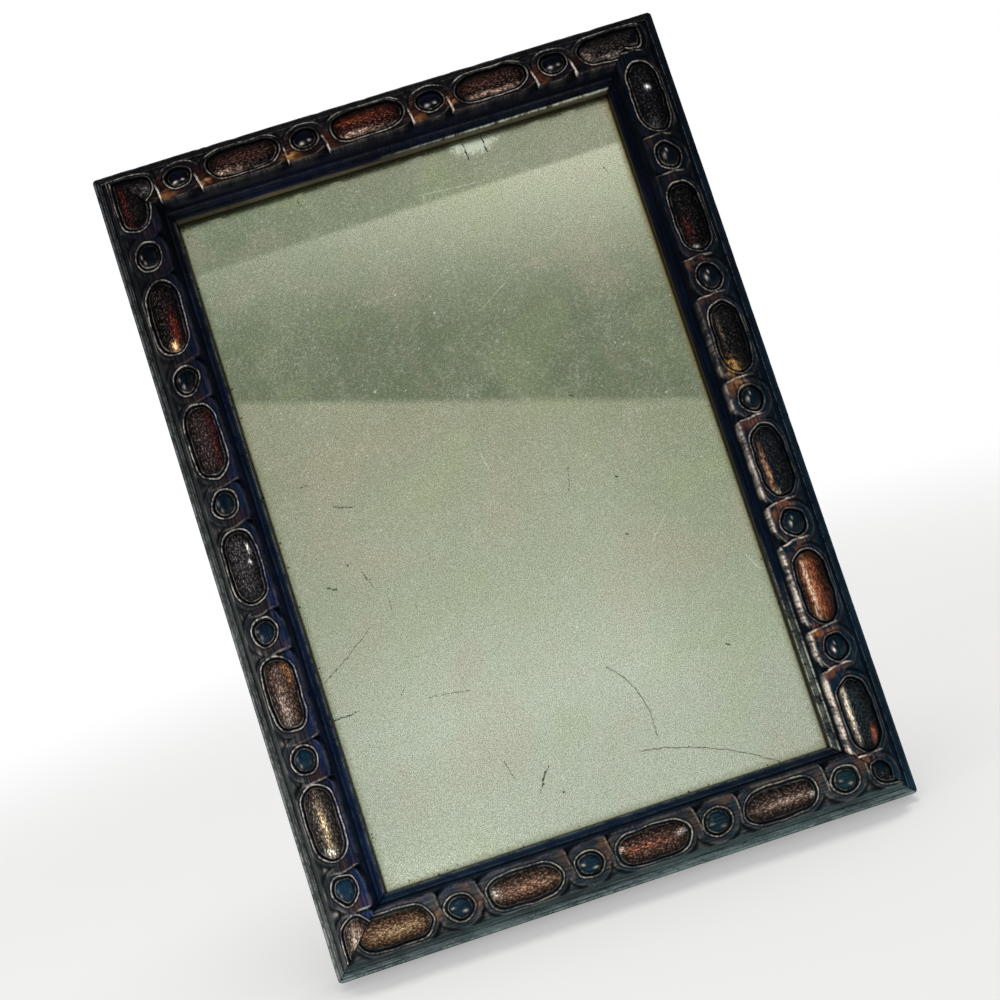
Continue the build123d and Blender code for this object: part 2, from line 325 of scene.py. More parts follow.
# Section of a rail from corner to corner: inset, height out, outward bow, samples and share of the relief
sectionCorners = [
    (0.0, 0.0, 0.0, 5, 0.0),
    (0.0, 10.2, 0.17, 4, 0.0),
    (0.8, 11.0, 0.0, 4, 0.0),
    (1.4, 11.0, -0.12, 3, 0.0),
    (1.75, 11.0, 0.0, 3, 0.0),
    (2.4, 11.0, 0.0, 2, 0.0),
    (2.5, 10.3, 0.0, 3, 0.0),
    (3.1, 10.35, -0.35, 10, 0.0),
    (4.85, 16.6, 0.0, 2, 0.75),
    (5.0, 17.0, 0.0, 56, 1.0),
    (18.4, 21.9, 0.16, 4, 1.0),
    (19.0, 20.7, -0.3, 10, 0.9),
    (19.9, 15.6, 0.4, 6, 0.0),
    (20.8, 13.0, 0.0, 3, 0.0),
    (21.6, 13.0, 0.1, 3, 0.0),
    (22.0, 12.6, 0.0, 3, 0.0),
    (22.0, 9.0, 0.0, 3, 0.0),
    (18.6, 9.0, 0.0, 3, 0.0),
    (18.6, 0.0, 0.0, 4, 0.0),
]


def sectionLoop():
    # Closed section: each stretch is a chord plus bow times 4t(1 - t) along its left-hand normal.
    inset, height, share = [], [], []
    for (u, z, bow, count, relief), follower in zip(sectionCorners, sectionCorners[1:] + sectionCorners[:1]):
        stepU, stepZ, stepRelief = follower[0] - u, follower[1] - z, follower[4] - relief
        t = np.arange(count) / count
        bulge = bow * 4.0 * t * (1.0 - t) / math.hypot(stepU, stepZ)
        inset.append(u + stepU * t - stepZ * bulge)
        height.append(z + stepZ * t + stepU * bulge)
        share.append(relief + stepRelief * t)
    return np.concatenate(inset), np.concatenate(height), np.concatenate(share)


def stadium(along, across, half, radius, shift=0.0):
    # Signed distance to a slot outline: the distance to its core segment less the radius.
    return np.hypot(np.maximum(np.abs(along - shift) - half, 0.0), across) - radius


def carvedMotif(depth, size):
    # Height inside a ring by the depth in from it: a fine crest, a groove, and a dome on a circle's arc.
    edge = railSettings["edge"]
    t = np.clip((depth - edge) / (size["ring"] + size["swell"] - edge), 0.0, 1.0)
    height = size["rise"] * np.sqrt(1.0 - (1.0 - t) ** 2) - size["sink"] * smooth(0.3, 0.75, depth)
    height += 0.28 * bell(depth, 0.05, 0.27) - 0.3 * bell(depth, edge - 0.3, 0.26)
    return height, t


def reliefOf(s, w, firstBead, seed):
    # Carving over the band by the place along (s) and across (w, inwards): pads, rings, grooves and domes.
    settings = railSettings
    pitch, lozengeSize, beadSize = settings["pitch"], settings["lozenge"], settings["bead"]
    jitter = np.random.default_rng(seed).normal(0.0, 1.0, (40, 4))
    s = s + 0.15 * ripple(s, w, 8.0, seed + 1)
    w = w + 0.12 * ripple(s, w, 9.0, seed + 2)
    beadIndex = np.floor((s - firstBead + pitch / 2) / pitch).astype(int)
    lozengeIndex = np.floor((s - firstBead) / pitch).astype(int)
    beadWay, lozengeWay = jitter[beadIndex + 10], jitter[lozengeIndex + 24]  # each motif's own small errors
    fromBead = s - firstBead - beadIndex * pitch + 0.14 * beadWay[..., 0]
    fromLozenge = s - firstBead - (lozengeIndex + 0.5) * pitch + 0.25 * lozengeWay[..., 0]
    lozengeAcross = w + 0.012 * lozengeWay[..., 1] * fromLozenge
    share = np.clip(fromLozenge / settings["lozengeReach"][0], -1.0, 1.0)
    swell = lozengeSize["swell"] * np.cos(share * math.pi / 2)
    radius = lozengeSize["ring"] + swell + 0.08 * lozengeWay[..., 2]
    depthL = -stadium(fromLozenge, lozengeAcross, lozengeSize["half"], radius)
    beadAlong, beadAcross = fromBead - settings["beadOff"][0], w - settings["beadOff"][1]
    lobes = 0.05 * np.cos(5.0 * np.arctan2(w, beadAlong) + beadWay[..., 3] * 3.0)  # the knife's facets
    depthB = beadSize["ring"] + 0.08 * beadWay[..., 2] + lobes - np.hypot(beadAlong, beadAcross)
    # Pads. Inwards each motif's pad is an arch that runs on to the next motif's foot, outwards a plain scallop.
    slanted = fromBead + settings["padSlant"] * np.maximum(w, 0.0)
    footB, footL = slanted - settings["beadFoot"], slanted - settings["lozengeFoot"]
    beadShare = smooth(-0.2, 0.2, footB) * (1.0 - smooth(-0.2, 0.2, footL))
    archB = stadium(fromBead, w, *settings["beadArch"])
    archL = stadium(fromLozenge, w, *settings["lozengeArch"])
    innerPad = archL * (1.0 - beadShare) + archB * beadShare
    outerPad = np.minimum(
        stadium(fromBead, w, *settings["beadScallop"]), stadium(fromLozenge, w, *settings["lozengeScallop"]))
    pad = np.where(w > 0.0, innerPad, outerPad)
    notch = np.where(w > 0.0, settings["innerNotch"], settings["outerNotch"])
    foot = np.where(np.abs(footB) < np.abs(footL), footB, footL)
    footLine = bell(foot, -0.22, 0.24) * smooth(-3.4, -1.2, w) * (1.0 - smooth(7.0, 7.6, w))
    footShade = bell(foot, 0.42, 0.34) * smooth(-1.0, 3.0, w)
    motifL, insideL = carvedMotif(depthL, lozengeSize)
    motifB, insideB = carvedMotif(depthB, beadSize)
    lozengeMask, beadMask = smooth(0.015, 0.08, insideL), smooth(0.015, 0.08, insideB)
    height = 0.75 * np.clip(1.0 - (w / 7.4) ** 2, 0.0, 1.0) - notch * smooth(-0.1, 1.7, pad)
    height += 0.16 * footLine - 0.55 * footShade + motifL + motifB
    height += 0.06 * ripple(s, w, 1.9, seed + 3) * lozengeMask
    return height, {
        "lozenge": lozengeIndex, "fromLozenge": fromLozenge, "inLozenge": insideL, "lozengeMask": lozengeMask,
        "fromBead": fromBead, "inBead": insideB, "beadMask": beadMask,
        "w": w, "pad": pad, "foot": foot, "depth": np.maximum(depthL, depthB),
        "plateau": smooth(0.1, -0.5, pad) * smooth(0.1, -0.3, depthL) * smooth(0.1, -0.3, depthB),
    }


# Each rail: where it starts and which way it runs, its colours as they look on a screen, and its wear and
# painted highlights, how light each kind of line is. "line" is the colour of rubbed wood and painted highlights.
# The ground, flat and bead colours carry painted sheen, lighter and bluer low down where a rail faces the lit
# floor, and the cove colours carry painted shade. A pair is for the rail's start and end, but in "sideways" and
# the second pair of "flecks" for the outer and inner side, lighter on the side that faces the light. Glints:
# painted
# highlights on each bead: along and across it, size, strength. Fans: painted highlights between motifs on the
# outer
# side. Patches: colour, along, across, spread along and across, strength. Each lozenge: its ground, then streaks
# like patches, from -1 to 1: red and copper streaks are worn colour, pale ones painted highlights.
rails = {
    "bottom_rail": {
        "origin": (-1, 0), "along": (1, 0), "inward": (0, 1), "length": "width", "firstBead": 43.2, "seed": 11,
        "ground": ((40, 52, 58), (32, 50, 60)), "cove": ((14, 36, 60), (10, 27, 48)), "coveFrom": 5.8,
        "bead": ((14, 38, 54), (18, 50, 58)), "flat": ((62, 74, 76), (84, 100, 102)), "groove": (0.6, 0.7),
        "glints": [(1.3, -1.5, 0.42, 0.75), (-1.9, 0.2, 0.36, 0.6)], "flecks": ((0.75, 0.55), (1.0, 0.8)),
        "plateau": (92, 66, 54), "plateauShow": (0.8, 0.6), "goldSheen": 0.2, "hammer": 0.9,
        "line": (188, 182, 164), "outerLine": (150, 166, 164), "face": (26, 32, 36),
        "warm": 0.45, "fans": (0.4, 0.5),
        "patches": [
            ((206, 186, 118), 142.3, 5.9, 1.8, 0.5, 0.7), ((176, 120, 84), 36.2, -0.6, 0.9, 2.6, 0.5),
            ((150, 110, 84), 49.6, -1.0, 1.0, 2.4, 0.4), ((150, 106, 78), 91.0, -1.0, 1.0, 2.4, 0.4)],
        "wearAndHighlights": {
            "rings": (0.6, 0.7), "sideways": (0.6, 0.85), "ringEnd": 1.0, "scallop": 0.06,
            "pads": (0.08, 0.08), "feet": (0.26, 0.4), "footFrom": -2.0, "shoulder": (0.12, 0.16),
            "lip": (0.06, 0.06), "lipEdge": (0.2, 0.15), "flat": (0.7, 0.8), "fillet": (0.4, 0.5)},
        "firstLozenge": -1,
        "lozenges": [
            [(94, 68, 48), ((190, 160, 122), 0.1, -0.1, 0.6, 0.3, 0.5)],
            [(76, 54, 44), ((166, 126, 100), 0.1, -0.1, 0.8, 0.25, 0.6),
             ((220, 208, 190), -0.75, 0.1, 0.12, 0.25, 0.7)],
            [(72, 50, 42), ((150, 80, 54), -0.3, 0.0, 0.5, 0.22, 0.6),
             ((214, 190, 172), -0.86, 0.2, 0.08, 0.2, 0.8), ((216, 202, 190), 0.72, 0.2, 0.12, 0.16, 0.8)],
            [(62, 46, 42), ((176, 152, 134), 0.1, -0.1, 0.6, 0.2, 0.8),
             ((214, 202, 190), 0.8, -0.1, 0.1, 0.16, 0.7)],
            [(34, 38, 44), ((150, 160, 160), -0.3, 0.0, 0.3, 0.25, 0.6)]],
    },
    "top_rail": {
        "origin": (1, 1), "along": (-1, 0), "inward": (0, -1), "length": "width", "firstBead": 37.5, "seed": 23,
        "ground": ((13, 16, 21), (12, 13, 18)), "cove": ((7, 13, 32), (7, 13, 32)), "coveFrom": 6.9,
        "bead": ((6, 10, 22), (5, 8, 16)), "flat": ((12, 14, 18), (15, 16, 20)), "groove": (0.95, 0.95),
        "glints": [(1.1, 2.1, 0.4, 1.0), (-1.4, 1.7, 0.3, 0.9)], "flecks": ((0.3, 0.25), (0.2, 1.0)),
        "plateau": (66, 28, 20), "plateauShow": (0.8, 0.9), "goldSheen": 0.45, "hammer": 1.0,
        "line": (218, 208, 198), "outerLine": (176, 176, 172), "face": (84, 80, 62),
        "warm": 0.1, "fans": (0.1, 0.1),
        "patches": [
            ((210, 140, 84), 72.7, 3.2, 1.5, 1.6, 0.6), ((220, 172, 98), 126.6, 4.8, 1.8, 1.3, 0.7),
            ((180, 132, 82), 154.3, 4.8, 2.2, 1.3, 0.6)],
        "wearAndHighlights": {
            "rings": (0.55, 0.5), "sideways": (0.12, 0.95), "ringEnd": -0.3, "scallop": 0.45,
            "pads": (0.1, 0.08), "feet": (1.3, 1.3), "footFrom": 1.6, "shoulder": (0.04, 0.04),
            "lip": (0.05, 0.03), "lipEdge": (3.4, -3.0), "flat": (0.12, 0.1), "fillet": (0.35, 0.35)},
        "firstLozenge": -1,
        "lozenges": [
            [(26, 21, 22), ((150, 132, 124), 0.8, 0.4, 0.15, 0.4, 0.5),
             ((140, 128, 122), 0.2, 0.8, 0.6, 0.12, 0.6)],
            [(38, 22, 20), ((190, 154, 138), 0.0, 0.8, 0.8, 0.12, 0.8),
             ((74, 40, 32), 0.3, 0.1, 0.5, 0.4, 0.5)],
            [(58, 21, 15), ((140, 66, 30), 0.35, -0.15, 0.4, 0.16, 0.5),
             ((206, 170, 148), 0.4, 0.8, 0.6, 0.13, 0.7)],
            [(36, 21, 19), ((176, 148, 134), 0.5, 0.75, 0.4, 0.16, 0.7),
             ((74, 42, 34), 0.0, 0.1, 0.6, 0.3, 0.5)],
            [(18, 17, 20), ((100, 96, 94), -0.8, 0.3, 0.2, 0.4, 0.5)]],
    },
    "left_stile": {
        "origin": (-1, 1), "along": (0, -1), "inward": (1, 0), "length": "height", "firstBead": 33.5, "seed": 37,
        "ground": ((11, 13, 20), (34, 42, 48)), "cove": ((6, 10, 24), (14, 38, 74)), "coveFrom": 3.6,
        "bead": ((3, 5, 10), (18, 46, 64)), "flat": ((13, 14, 20), (74, 80, 78)), "groove": (0.85, 0.55),
        "glints": [(1.6, -1.4, 0.36, 0.35), (-0.6, -2.2, 0.36, 0.3)], "flecks": ((0.12, 0.9), (1.0, 0.2)),
        "plateau": (54, 26, 24), "plateauShow": (0.12, 0.6), "goldSheen": 0.0, "hammer": 1.0,
        "line": (186, 178, 170), "outerLine": (160, 164, 164), "face": (12, 14, 20),
        "warm": 0.2, "fans": (-0.3, 1.0), "patches": [],
        "wearAndHighlights": {
            "rings": (0.6, 1.1), "sideways": (1.0, 0.85), "ringEnd": 0.0, "scallop": 0.03, "pads": (0.0, 0.1),
            "feet": (-0.1, 0.5), "footFrom": -2.5, "shoulder": (0.0, 0.1), "lip": (0.03, 0.06),
            "lipEdge": (0.2, 0.3), "flat": (0.3, 0.9), "fillet": (0.2, 0.8)},
        "firstLozenge": -1,
        "lozenges": [
            [(14, 11, 13), ((70, 24, 21), 0.2, -0.5, 0.8, 0.2, 0.6)],
            [(22, 15, 17), ((94, 36, 25), 0.4, 0.3, 0.4, 0.26, 0.9),
             ((236, 190, 134), 0.8, -0.05, 0.12, 0.22, 0.9)],
            [(44, 34, 34), ((72, 28, 25), 0.0, 0.6, 0.8, 0.2, 0.6)],
            [(46, 44, 46), ((240, 236, 228), -0.4, 0.6, 0.1, 0.1, 0.9),
             ((240, 236, 228), -0.05, 0.5, 0.06, 0.08, 0.9)],
            [(80, 62, 54), ((176, 122, 80), -0.5, 0.7, 0.3, 0.18, 0.6),
             ((190, 172, 156), 0.4, -0.2, 0.4, 0.25, 0.5)],
            [(66, 60, 54), ((220, 192, 150), 0.2, 0.0, 0.6, 0.2, 0.7),
             ((250, 240, 222), 0.75, -0.05, 0.08, 0.3, 0.9)],
            [(104, 84, 72), ((216, 194, 176), -0.2, -0.2, 0.5, 0.25, 0.6)]],
    },
    "right_stile": {
        "origin": (1, 0), "along": (0, 1), "inward": (-1, 0), "length": "height", "firstBead": 9.25, "seed": 53,
        "ground": ((15, 44, 60), (6, 10, 20)), "cove": ((9, 20, 36), (7, 11, 24)), "coveFrom": 6.9,
        "bead": ((11, 34, 46), (4, 8, 16)), "flat": ((14, 42, 60), (5, 9, 18)), "groove": (0.95, 0.9),
        "glints": [(-0.4, 1.7, 0.42, 0.9), (1.3, 0.6, 0.3, 0.5)], "flecks": ((0.12, 0.15), (0.5, 1.0)),
        "plateau": (140, 88, 62), "plateauShow": (1.2, -0.2), "goldSheen": 0.5, "hammer": 0.55,
        "line": (236, 222, 206), "outerLine": (120, 138, 152), "face": (36, 33, 22),
        "warm": 0.1, "fans": (0.1, 0.0),
        "patches": [((214, 166, 94), 143.6, 3.4, 3.2, 2.2, 0.75), ((226, 190, 140), 138.6, 1.6, 1.3, 1.8, 0.6)],
        "wearAndHighlights": {
            "rings": (0.2, 0.5), "sideways": (0.35, 0.7), "ringEnd": 1.2, "scallop": 0.05, "pads": (0.3, -0.1),
            "feet": (1.2, 0.2), "footFrom": -2.5, "shoulder": (1.7, -0.9), "lip": (2.4, -6.0),
            "lipEdge": (1.6, -3.0), "flat": (0.12, 0.06), "fillet": (0.75, 0.65)},
        "firstLozenge": 0,
        "lozenges": [
            [(26, 36, 41), ((236, 222, 200), 0.15, 0.66, 0.8, 0.15, 1.0),
             ((190, 112, 82), -0.62, -0.5, 0.2, 0.16, 0.9)],
            [(104, 56, 36), ((206, 140, 98), 0.1, 0.3, 0.8, 0.3, 0.6),
             ((246, 208, 178), 0.0, 0.48, 0.8, 0.12, 0.85), ((34, 18, 18), 0.1, -0.65, 1.0, 0.3, 0.8)],
            [(22, 27, 32), ((196, 150, 118), -0.3, 0.66, 0.5, 0.15, 0.9),
             ((236, 218, 190), -0.85, 0.45, 0.08, 0.2, 0.8)],
            [(18, 19, 23), ((214, 168, 96), -0.85, 0.6, 0.12, 0.35, 0.8),
             ((104, 88, 74), 0.2, 0.6, 0.4, 0.12, 0.6)],
            [(15, 13, 18), ((84, 28, 26), -0.4, 0.4, 0.3, 0.25, 0.6),
             ((235, 235, 235), -0.88, 0.3, 0.05, 0.18, 0.9)],
            [(17, 19, 23), ((255, 255, 255), 0.22, -0.1, 0.06, 0.18, 1.0),
             ((104, 104, 106), -0.8, 0.2, 0.12, 0.3, 0.5)],
            [(11, 13, 18)]],
    },
}


def paint(tint, colour, amount):
    # The tint mixed towards a colour by an amount, 0 to 1, at each vertex. tone() turns a screen colour first.
    colour = np.array(tone(*colour)) if isinstance(colour, tuple) else colour
    amount = np.clip(amount, 0.0, 1.0)[..., None]
    return tint * (1.0 - amount) + colour * amount


def endTones(pair, run):
    # The colour at a share of the rail's run, from the pair for its start and end.
    first, last = [np.array(tone(*colour)) for colour in pair]
    return first * (1.0 - run[..., None]) + last * run[..., None]


def ends(pair, run):
    # The same for a number.
    return pair[0] + (pair[1] - pair[0]) * run


def railFinish(rail, at):
    # Vertex tints: ground with painted sheen, the cove darkened with painted shade, coppery pads, beads, and
    # each lozenge's ground with its streaks. Painted light among them: domes and beads darker to their edges,
    # glints, fans, a gold sheen on the pads and the pale streaks.
    s, w, u, run, share, seed = at["s"], at["w"], at["u"], at["run"], at["front"], rail["seed"]
    fromBead, fromLozenge = at["fromBead"], at["fromLozenge"]
    rough = ripple(s, w, 2.6, seed + 5)
    broken = np.clip(0.7 + 0.6 * rough, 0.0, 1.2)
    cloudy = np.clip(0.6 + 0.4 * ripple(s, w, 9.0, seed + 6) + 0.2 * rough, 0.0, 1.0)
    # Coppery pads where the black is rubbed through, with painted light where they catch it; glow is a painted
    # gold sheen on the pads' inner side.
    beside = bell(fromBead, 5.9, 2.2) + 0.6 * bell(fromBead, -7.0, 1.5) + 0.15
    show = np.clip(ends(rail["plateauShow"], run), 0.0, 1.2) * at["plateau"] * share * cloudy
    show = show * smooth(-4.0, 0.0, w)
    glow = bell(w, 5.8, 1.8) * (0.8 * bell(fromBead, 5.2, 3.0) + 0.3 * bell(fromLozenge, 6.0, 4.0))
    # Fans: painted highlights on the outer side between motifs.
    fans = bell(np.abs(fromBead), 6.7, 1.1) * bell(w, -4.4, 1.7) * smooth(0.0, -0.5, at["depth"])
    fans = fans * np.clip(ends(rail["fans"], run), 0.0, 1.0) * share * np.clip(0.6 + 0.5 * rough, 0.0, 1.0)
    # Ground and flat: painted sheen, lighter low down where a rail faces the lit floor; cove: painted shade by
    # the glass.
    tint = endTones(rail["ground"], run)
    for colour, amount in (
            (endTones(rail["cove"], run), 0.9 * smooth(rail["coveFrom"], rail["coveFrom"] + 0.9, w)),
            (endTones(rail["flat"], run), 1.0 - smooth(4.4, 5.6, u)),
            (rail["plateau"], show * beside),
            ((168, 112, 58), rail["goldSheen"] * show * glow),
            (rail["face"], smooth(21.85, 21.99, u) * (1.0 - smooth(12.3, 12.7, at["z"]))),
            (rail["line"], 0.8 * fans)):
        tint = paint(tint, colour, amount)
    reachAlong, reachAcross = railSettings["lozengeReach"]
    along, across = fromLozenge / reachAlong, w / reachAcross
    speckle = 1.0 + 0.3 * rough + 0.25 * ripple(s * 0.4, w, 1.1, seed + 8)
    # Painted shade: each lozenge darker towards its edges, as a lit dome would be.
    domeShade = (0.12 + 1.08 * smooth(0.0, 0.95, at["inLozenge"]))[..., None]
    for index, (ground, *streaks) in enumerate(rail["lozenges"], rail["firstLozenge"]):
        colour = np.array(tone(*ground)) * domeShade
        # Streaks: red and copper ones are worn colour, pale ones painted highlights.
        for streakTone, atAlong, atAcross, longSpread, wideSpread, strength in streaks:
            spread = bell(along, atAlong, longSpread) * bell(across, atAcross, wideSpread)
            colour = paint(colour, streakTone, strength * spread * speckle)
        tint = paint(tint, colour, at["lozengeMask"] * share * (at["lozenge"] == index))
    # Painted shade towards each bead's rim, then painted glints on it.
    beadTone = endTones(rail["bead"], run ** 2) * (0.45 + 0.55 * smooth(0.05, 0.5, at["inBead"]))[..., None]
    for glintAlong, glintAcross, size, strength in rail["glints"]:
        spot = bell(fromBead - railSettings["beadOff"][0], glintAlong, size * 1.6) * bell(w, glintAcross, size)
        beadTone = paint(beadTone, rail["line"], strength * spot * speckle)
    tint = paint(tint, beadTone, at["beadMask"] * share)
    for patchTone, atAlong, atAcross, longSpread, wideSpread, strength in rail["patches"]:
        spread = bell(s, atAlong, longSpread) * bell(w, atAcross, wideSpread) * broken
        tint = paint(tint, patchTone, strength * spread * share)
    tint[..., 3] = 1.0
    return tint


def railWearAndHighlights(rail, at):
    # How light the lines are, rubbed and with painted highlights: rings, pad borders and feet as three numbers,
    # the section's edges as a fourth. Rings are lighter on the side and at the end that face the light, feet are
    # painted lit strokes, and shoulder and lip carry painted highlights.
    s, w, u, z, share, seed, wearAndHighlights = at["s"], at["w"], at["u"], at["z"], at["front"], rail["seed"], rail["wearAndHighlights"]
    level = {name: ends(pair, at["run"]) for name, pair in wearAndHighlights.items() if isinstance(pair, tuple)}
    inner = smooth(-4.0, 4.5, w)
    patchy = 0.75 + 0.35 * ripple(s, w, 7.0, seed + 10) + 0.3 * ripple(s, w, 1.7, seed + 11)
    patchy = np.clip(patchy, 0.1, 1.25)
    ringEnd = 1.0 + wearAndHighlights["ringEnd"] * smooth(3.0, 11.0, at["fromLozenge"])
    rings = level["rings"] * ends(wearAndHighlights["sideways"], inner) * ringEnd
    borders = wearAndHighlights["scallop"] * (1.0 - smooth(-6.0, -3.8, w)) + level["pads"] * inner
    feet = level["feet"] * smooth(wearAndHighlights["footFrom"] - 1.8, wearAndHighlights["footFrom"] + 1.8, w)
    feet = feet * (1.0 - smooth(6.4, 7.4, w)) * (1.0 - smooth(2.0, 4.0, np.abs(at["foot"])))
    onPad = 1.0 - smooth(0.2, 1.0, at["pad"])
    onFront, onLip = smooth(10.0, 10.8, z), smooth(11.5, 12.5, z)
    sectionEdges = (  # how light, rubbed and with painted highlights on shoulder and lip, inset, width and where they show
        (level["flat"], 0.6, 0.22, onFront),
        (0.8 * level["flat"], 1.57, 0.13, onFront),
        (level["fillet"], 2.36, 0.12, onFront),
        (0.5 * level["flat"], 3.1, 0.14, onFront),
        (0.5 * level["rings"], 4.95, 0.16, onPad),
        (level["shoulder"], 18.7, 0.42, onPad),
        (np.clip(level["lip"], 0.0, 0.9), 20.2, 0.17, onLip),
        (np.clip(level["lip"], 0.0, 1.0) * 0.35, 21.1, 0.4, onLip),
        (level["lipEdge"], 21.8, 0.17, onLip),
    )
    sections = np.maximum.reduce([
        strength * bell(u, inset, width) * where for strength, inset, width, where in sectionEdges])
    lines = np.stack([rings, borders, feet], axis=-1) * (patchy * share)[..., None]
    return np.clip(lines, 0.0, 1.0), np.clip(sections * patchy, 0.0, 1.0)


def fleckLevel(rail, at):
    # How thick the pale flecks lie on a lozenge: the share at this end of the rail times that on this side. They
    # are light grains of the hammering with painted highlights, thicker on the crown and on the side facing the
    # light.
    endPair, sidePair = rail["flecks"]
    side = smooth(-3.5, 3.5, at["w"])
    crown = 0.25 + 0.75 * smooth(0.15, 0.7, at["inLozenge"])
    return ends(endPair, at["run"]) * ends(sidePair, side) * crown


def gridMesh(name, points, around=None, along=None):
    # Mesh of a closed grid, i along and j around, with one many-sided face at each end, and a UV in metres.
    rows, columns = points.shape[:2]
    index = np.arange(rows * columns).reshape(rows, columns)
    side = np.roll(index, -1, axis=1)
    quads = np.stack([index[:-1], index[1:], side[1:], side[:-1]], axis=-1).reshape(-1, 4)
    caps = [index[0].tolist(), index[-1][::-1].tolist()]
    mesh = bpy.data.meshes.new(name)
    mesh.from_pydata(points.reshape(-1, 3).tolist(), [], quads.tolist() + caps)
    if along is not None:
        turned = np.roll(along, -1, axis=1)
        width = np.broadcast_to(around, (rows - 1, columns))
        widthEnd = np.broadcast_to(np.append(around[1:], around[-1] + mm), (rows - 1, columns))
        pairs = ((along[:-1], width), (along[1:], width), (turned[1:], widthEnd), (turned[:-1], widthEnd))
        flat = np.zeros((len(mesh.loops), 2))
        flat[: len(quads) * 4] = np.stack([np.stack(pair, axis=-1) for pair in pairs], axis=2).reshape(-1, 2)
        mesh.uv_layers.new(name="along").data.foreach_set("uv", flat.ravel())
    mesh.shade_smooth()
    mesh.set_sharp_from_angle(angle=math.radians(50.0))
    mesh.update()
    return mesh


def setAttribute(mesh, name, values):
    # Numbers, vectors or colours at the vertices, told apart by the shape of the grid's values.
    width = values.shape[2] if values.ndim > 2 else 1
    kind, key = {1: ("FLOAT", "value"), 3: ("FLOAT_VECTOR", "vector"), 4: ("FLOAT_COLOR", "color")}[width]
    mesh.attributes.new(name, kind, "POINT").data.foreach_set(key, values.astype(np.float32).ravel())


def addPiece(name, mesh, material, body, node):
    mesh.materials.append(material)
    piece = bpy.data.objects.new(name, mesh)
    scene.collection.objects.link(piece)
    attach(piece, body)
    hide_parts(node)


def roundCorners(s, u, length):
    # Outer corners worn round in plan: squares about (r, r) pulled in to circles.
    reach = railSettings["cornerRound"]
    fromEnd = np.minimum(s, length - s)
    sideways, inwards = reach - fromEnd, reach - u
    inCorner = (sideways > 0.0) & (inwards > 0.0)
    slant = np.maximum(np.hypot(sideways, inwards), 1e-6)
    pull = np.where(inCorner, np.maximum(sideways, inwards) / slant, 1.0)
    fromEnd = np.where(inCorner, reach - sideways * pull, fromEnd)
    return np.where(s < length / 2, fromEnd, length - fromEnd), np.where(inCorner, reach - inwards * pull, u)


